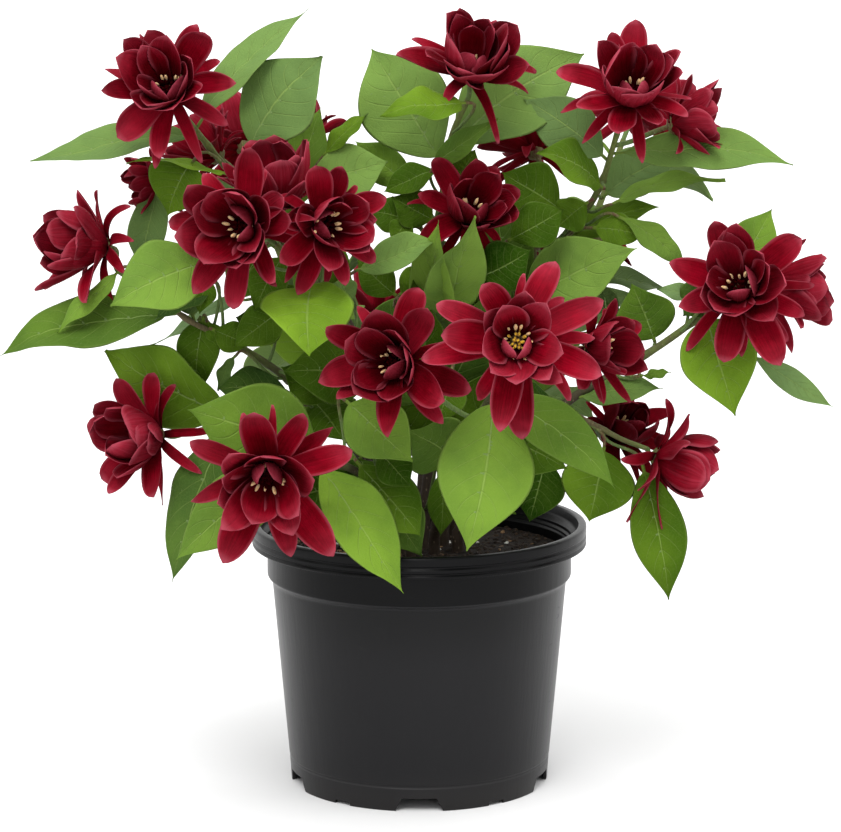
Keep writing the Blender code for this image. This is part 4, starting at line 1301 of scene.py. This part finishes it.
def stalk_path(stem, share, foot, axis):
    """Curved stalk from the stem's bark to the flower's foot."""
    start, aim = stem.perch(share, foot)
    pull = (foot - start).length * STALK_PULL
    a, b = start + aim * pull, foot - axis * pull
    path = []
    for step in range(STALK_STEPS):
        t = step / STALK_STEPS
        path.append(start * (1 - t) ** 3 + a * 3 * t * (1 - t) ** 2 + b * 3 * t * t * (1 - t)
                    + foot * t ** 3)
    return path


def make_flower(name, tree, stem, seed, share, middle, facing, tepal, spread, opening, gold, painted_flower_shade,
                side, around):
    """One flower, from its stalk to its stamens."""
    axis = Vector(facing).normalized()
    foot = metres(middle) - axis * MIDDLE_SHARE * tepal * MM
    turn = axis.to_track_quat("Z", "Y").to_matrix().to_4x4()
    matrix = Matrix.Translation(foot) @ turn
    back = matrix.inverted()
    path = [back @ point for point in stalk_path(stem, share / 100, foot, axis)]
    girths = [STALK_RADIUS * MM] * len(path)
    for height, radius in RECEPTACLE:
        path.append(Vector((0.0, 0.0, height * MM)))
        girths.append(radius * MM)
    down = tuple(turn.inverted() @ Vector((0.0, 0.0, -1.0)))
    flower = grown(name, tree, polyline(name + "_path", path, girths), {
        "Tepals": FEWEST_TEPALS + round(tepal / TEPAL_STEP), "Length": tepal * MM,
        "Spread": math.radians(spread),
        "Opening": opening / 100, "Painted flower shade": painted_flower_shade / 100, "Heart side": math.radians(side),
        "Turn": math.radians(around), "Reflex": REFLEX, "Sag": SAG, "Down": down, "Seed": seed,
        "Heart": FINISHES["heart" if gold > 50 else "tepal"]})
    return faced(flower, matrix)


def make_flowers(tree, stems):
    flowers = {}
    for seed, (name, carrier, *row) in enumerate(rows(FLOWERS) + rows(TUCKED_FLOWERS)):
        title = name.replace("flower_", "bloom_")
        flowers[name] = make_flower(title, tree, stems[carrier], seed, *row)
    return flowers


# ---- studio

def make_floor():
    mesh = bpy.data.meshes.new("floor")
    edge = FLOOR_REACH
    corners = [(-edge, -edge, 0), (edge, -edge, 0), (edge, edge, 0), (-edge, edge, 0)]
    mesh.from_pydata(corners, [], [(0, 1, 2, 3)])
    mesh.materials.append(FINISHES["floor"])
    linked("floor", mesh)


def add_light(name, source, strength, spread):
    """A far, broad light that shines from a direction."""
    lamp = bpy.data.lights.new(name, "SUN")
    lamp.energy = strength
    lamp.angle = math.radians(spread)
    item = linked(name, lamp)
    item.location = Vector(source)
    item.rotation_euler = Vector(source).to_track_quat("Z", "Y").to_euler()


def set_studio():
    scene = bpy.context.scene
    scene.view_settings.view_transform = "Standard"
    world = bpy.data.worlds.new("studio")
    world.use_nodes = True
    sky = world.node_tree.nodes["Background"].inputs
    sky["Color"].default_value = (1.0, 1.0, 1.0, 1.0)
    sky["Strength"].default_value = WORLD_LIGHT
    scene.world = world
    for lamp in LAMPS:
        add_light(*lamp)
    camera = linked("camera", bpy.data.cameras.new("camera"))
    camera.data.sensor_width = 36.0
    camera.data.lens = CAMERA_LENS
    camera.location = CAMERA_PLACE
    camera.rotation_euler = (math.radians(CAMERA_TILT), 0.0, 0.0)
    scene.camera = camera


# ---- assembly

def settle(item, slot, *nodes):
    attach(item, "root")
    if nodes:
        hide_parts(*nodes)


def main():
    set_studio()
    make_floor()
    turned = turned_tree()
    settle(make_pot(turned), "pot_plastic", "pot")
    soil, bits = make_soil(turned, crumb_tree())
    settle(soil, "potting_mix", "potting_mix")
    for item in bits:
        settle(item, "potting_mix")
    stems, items = make_stems(stem_tree())
    for name, item in items.items():
        settle(item, "cane_bark" if name.startswith("cane") else "green_twig", name)
    leaves, sprays = make_leaves(leaf_tree(), stems)
    for name, item in leaves.items():
        settle(item, "leaf_blade", name)
    for item in sprays:
        settle(item, "leaf_blade")
    for name, item in make_flowers(flower_tree(), stems).items():
        settle(item, "tepal", *([name] if name.startswith("flower_") else []))


main()
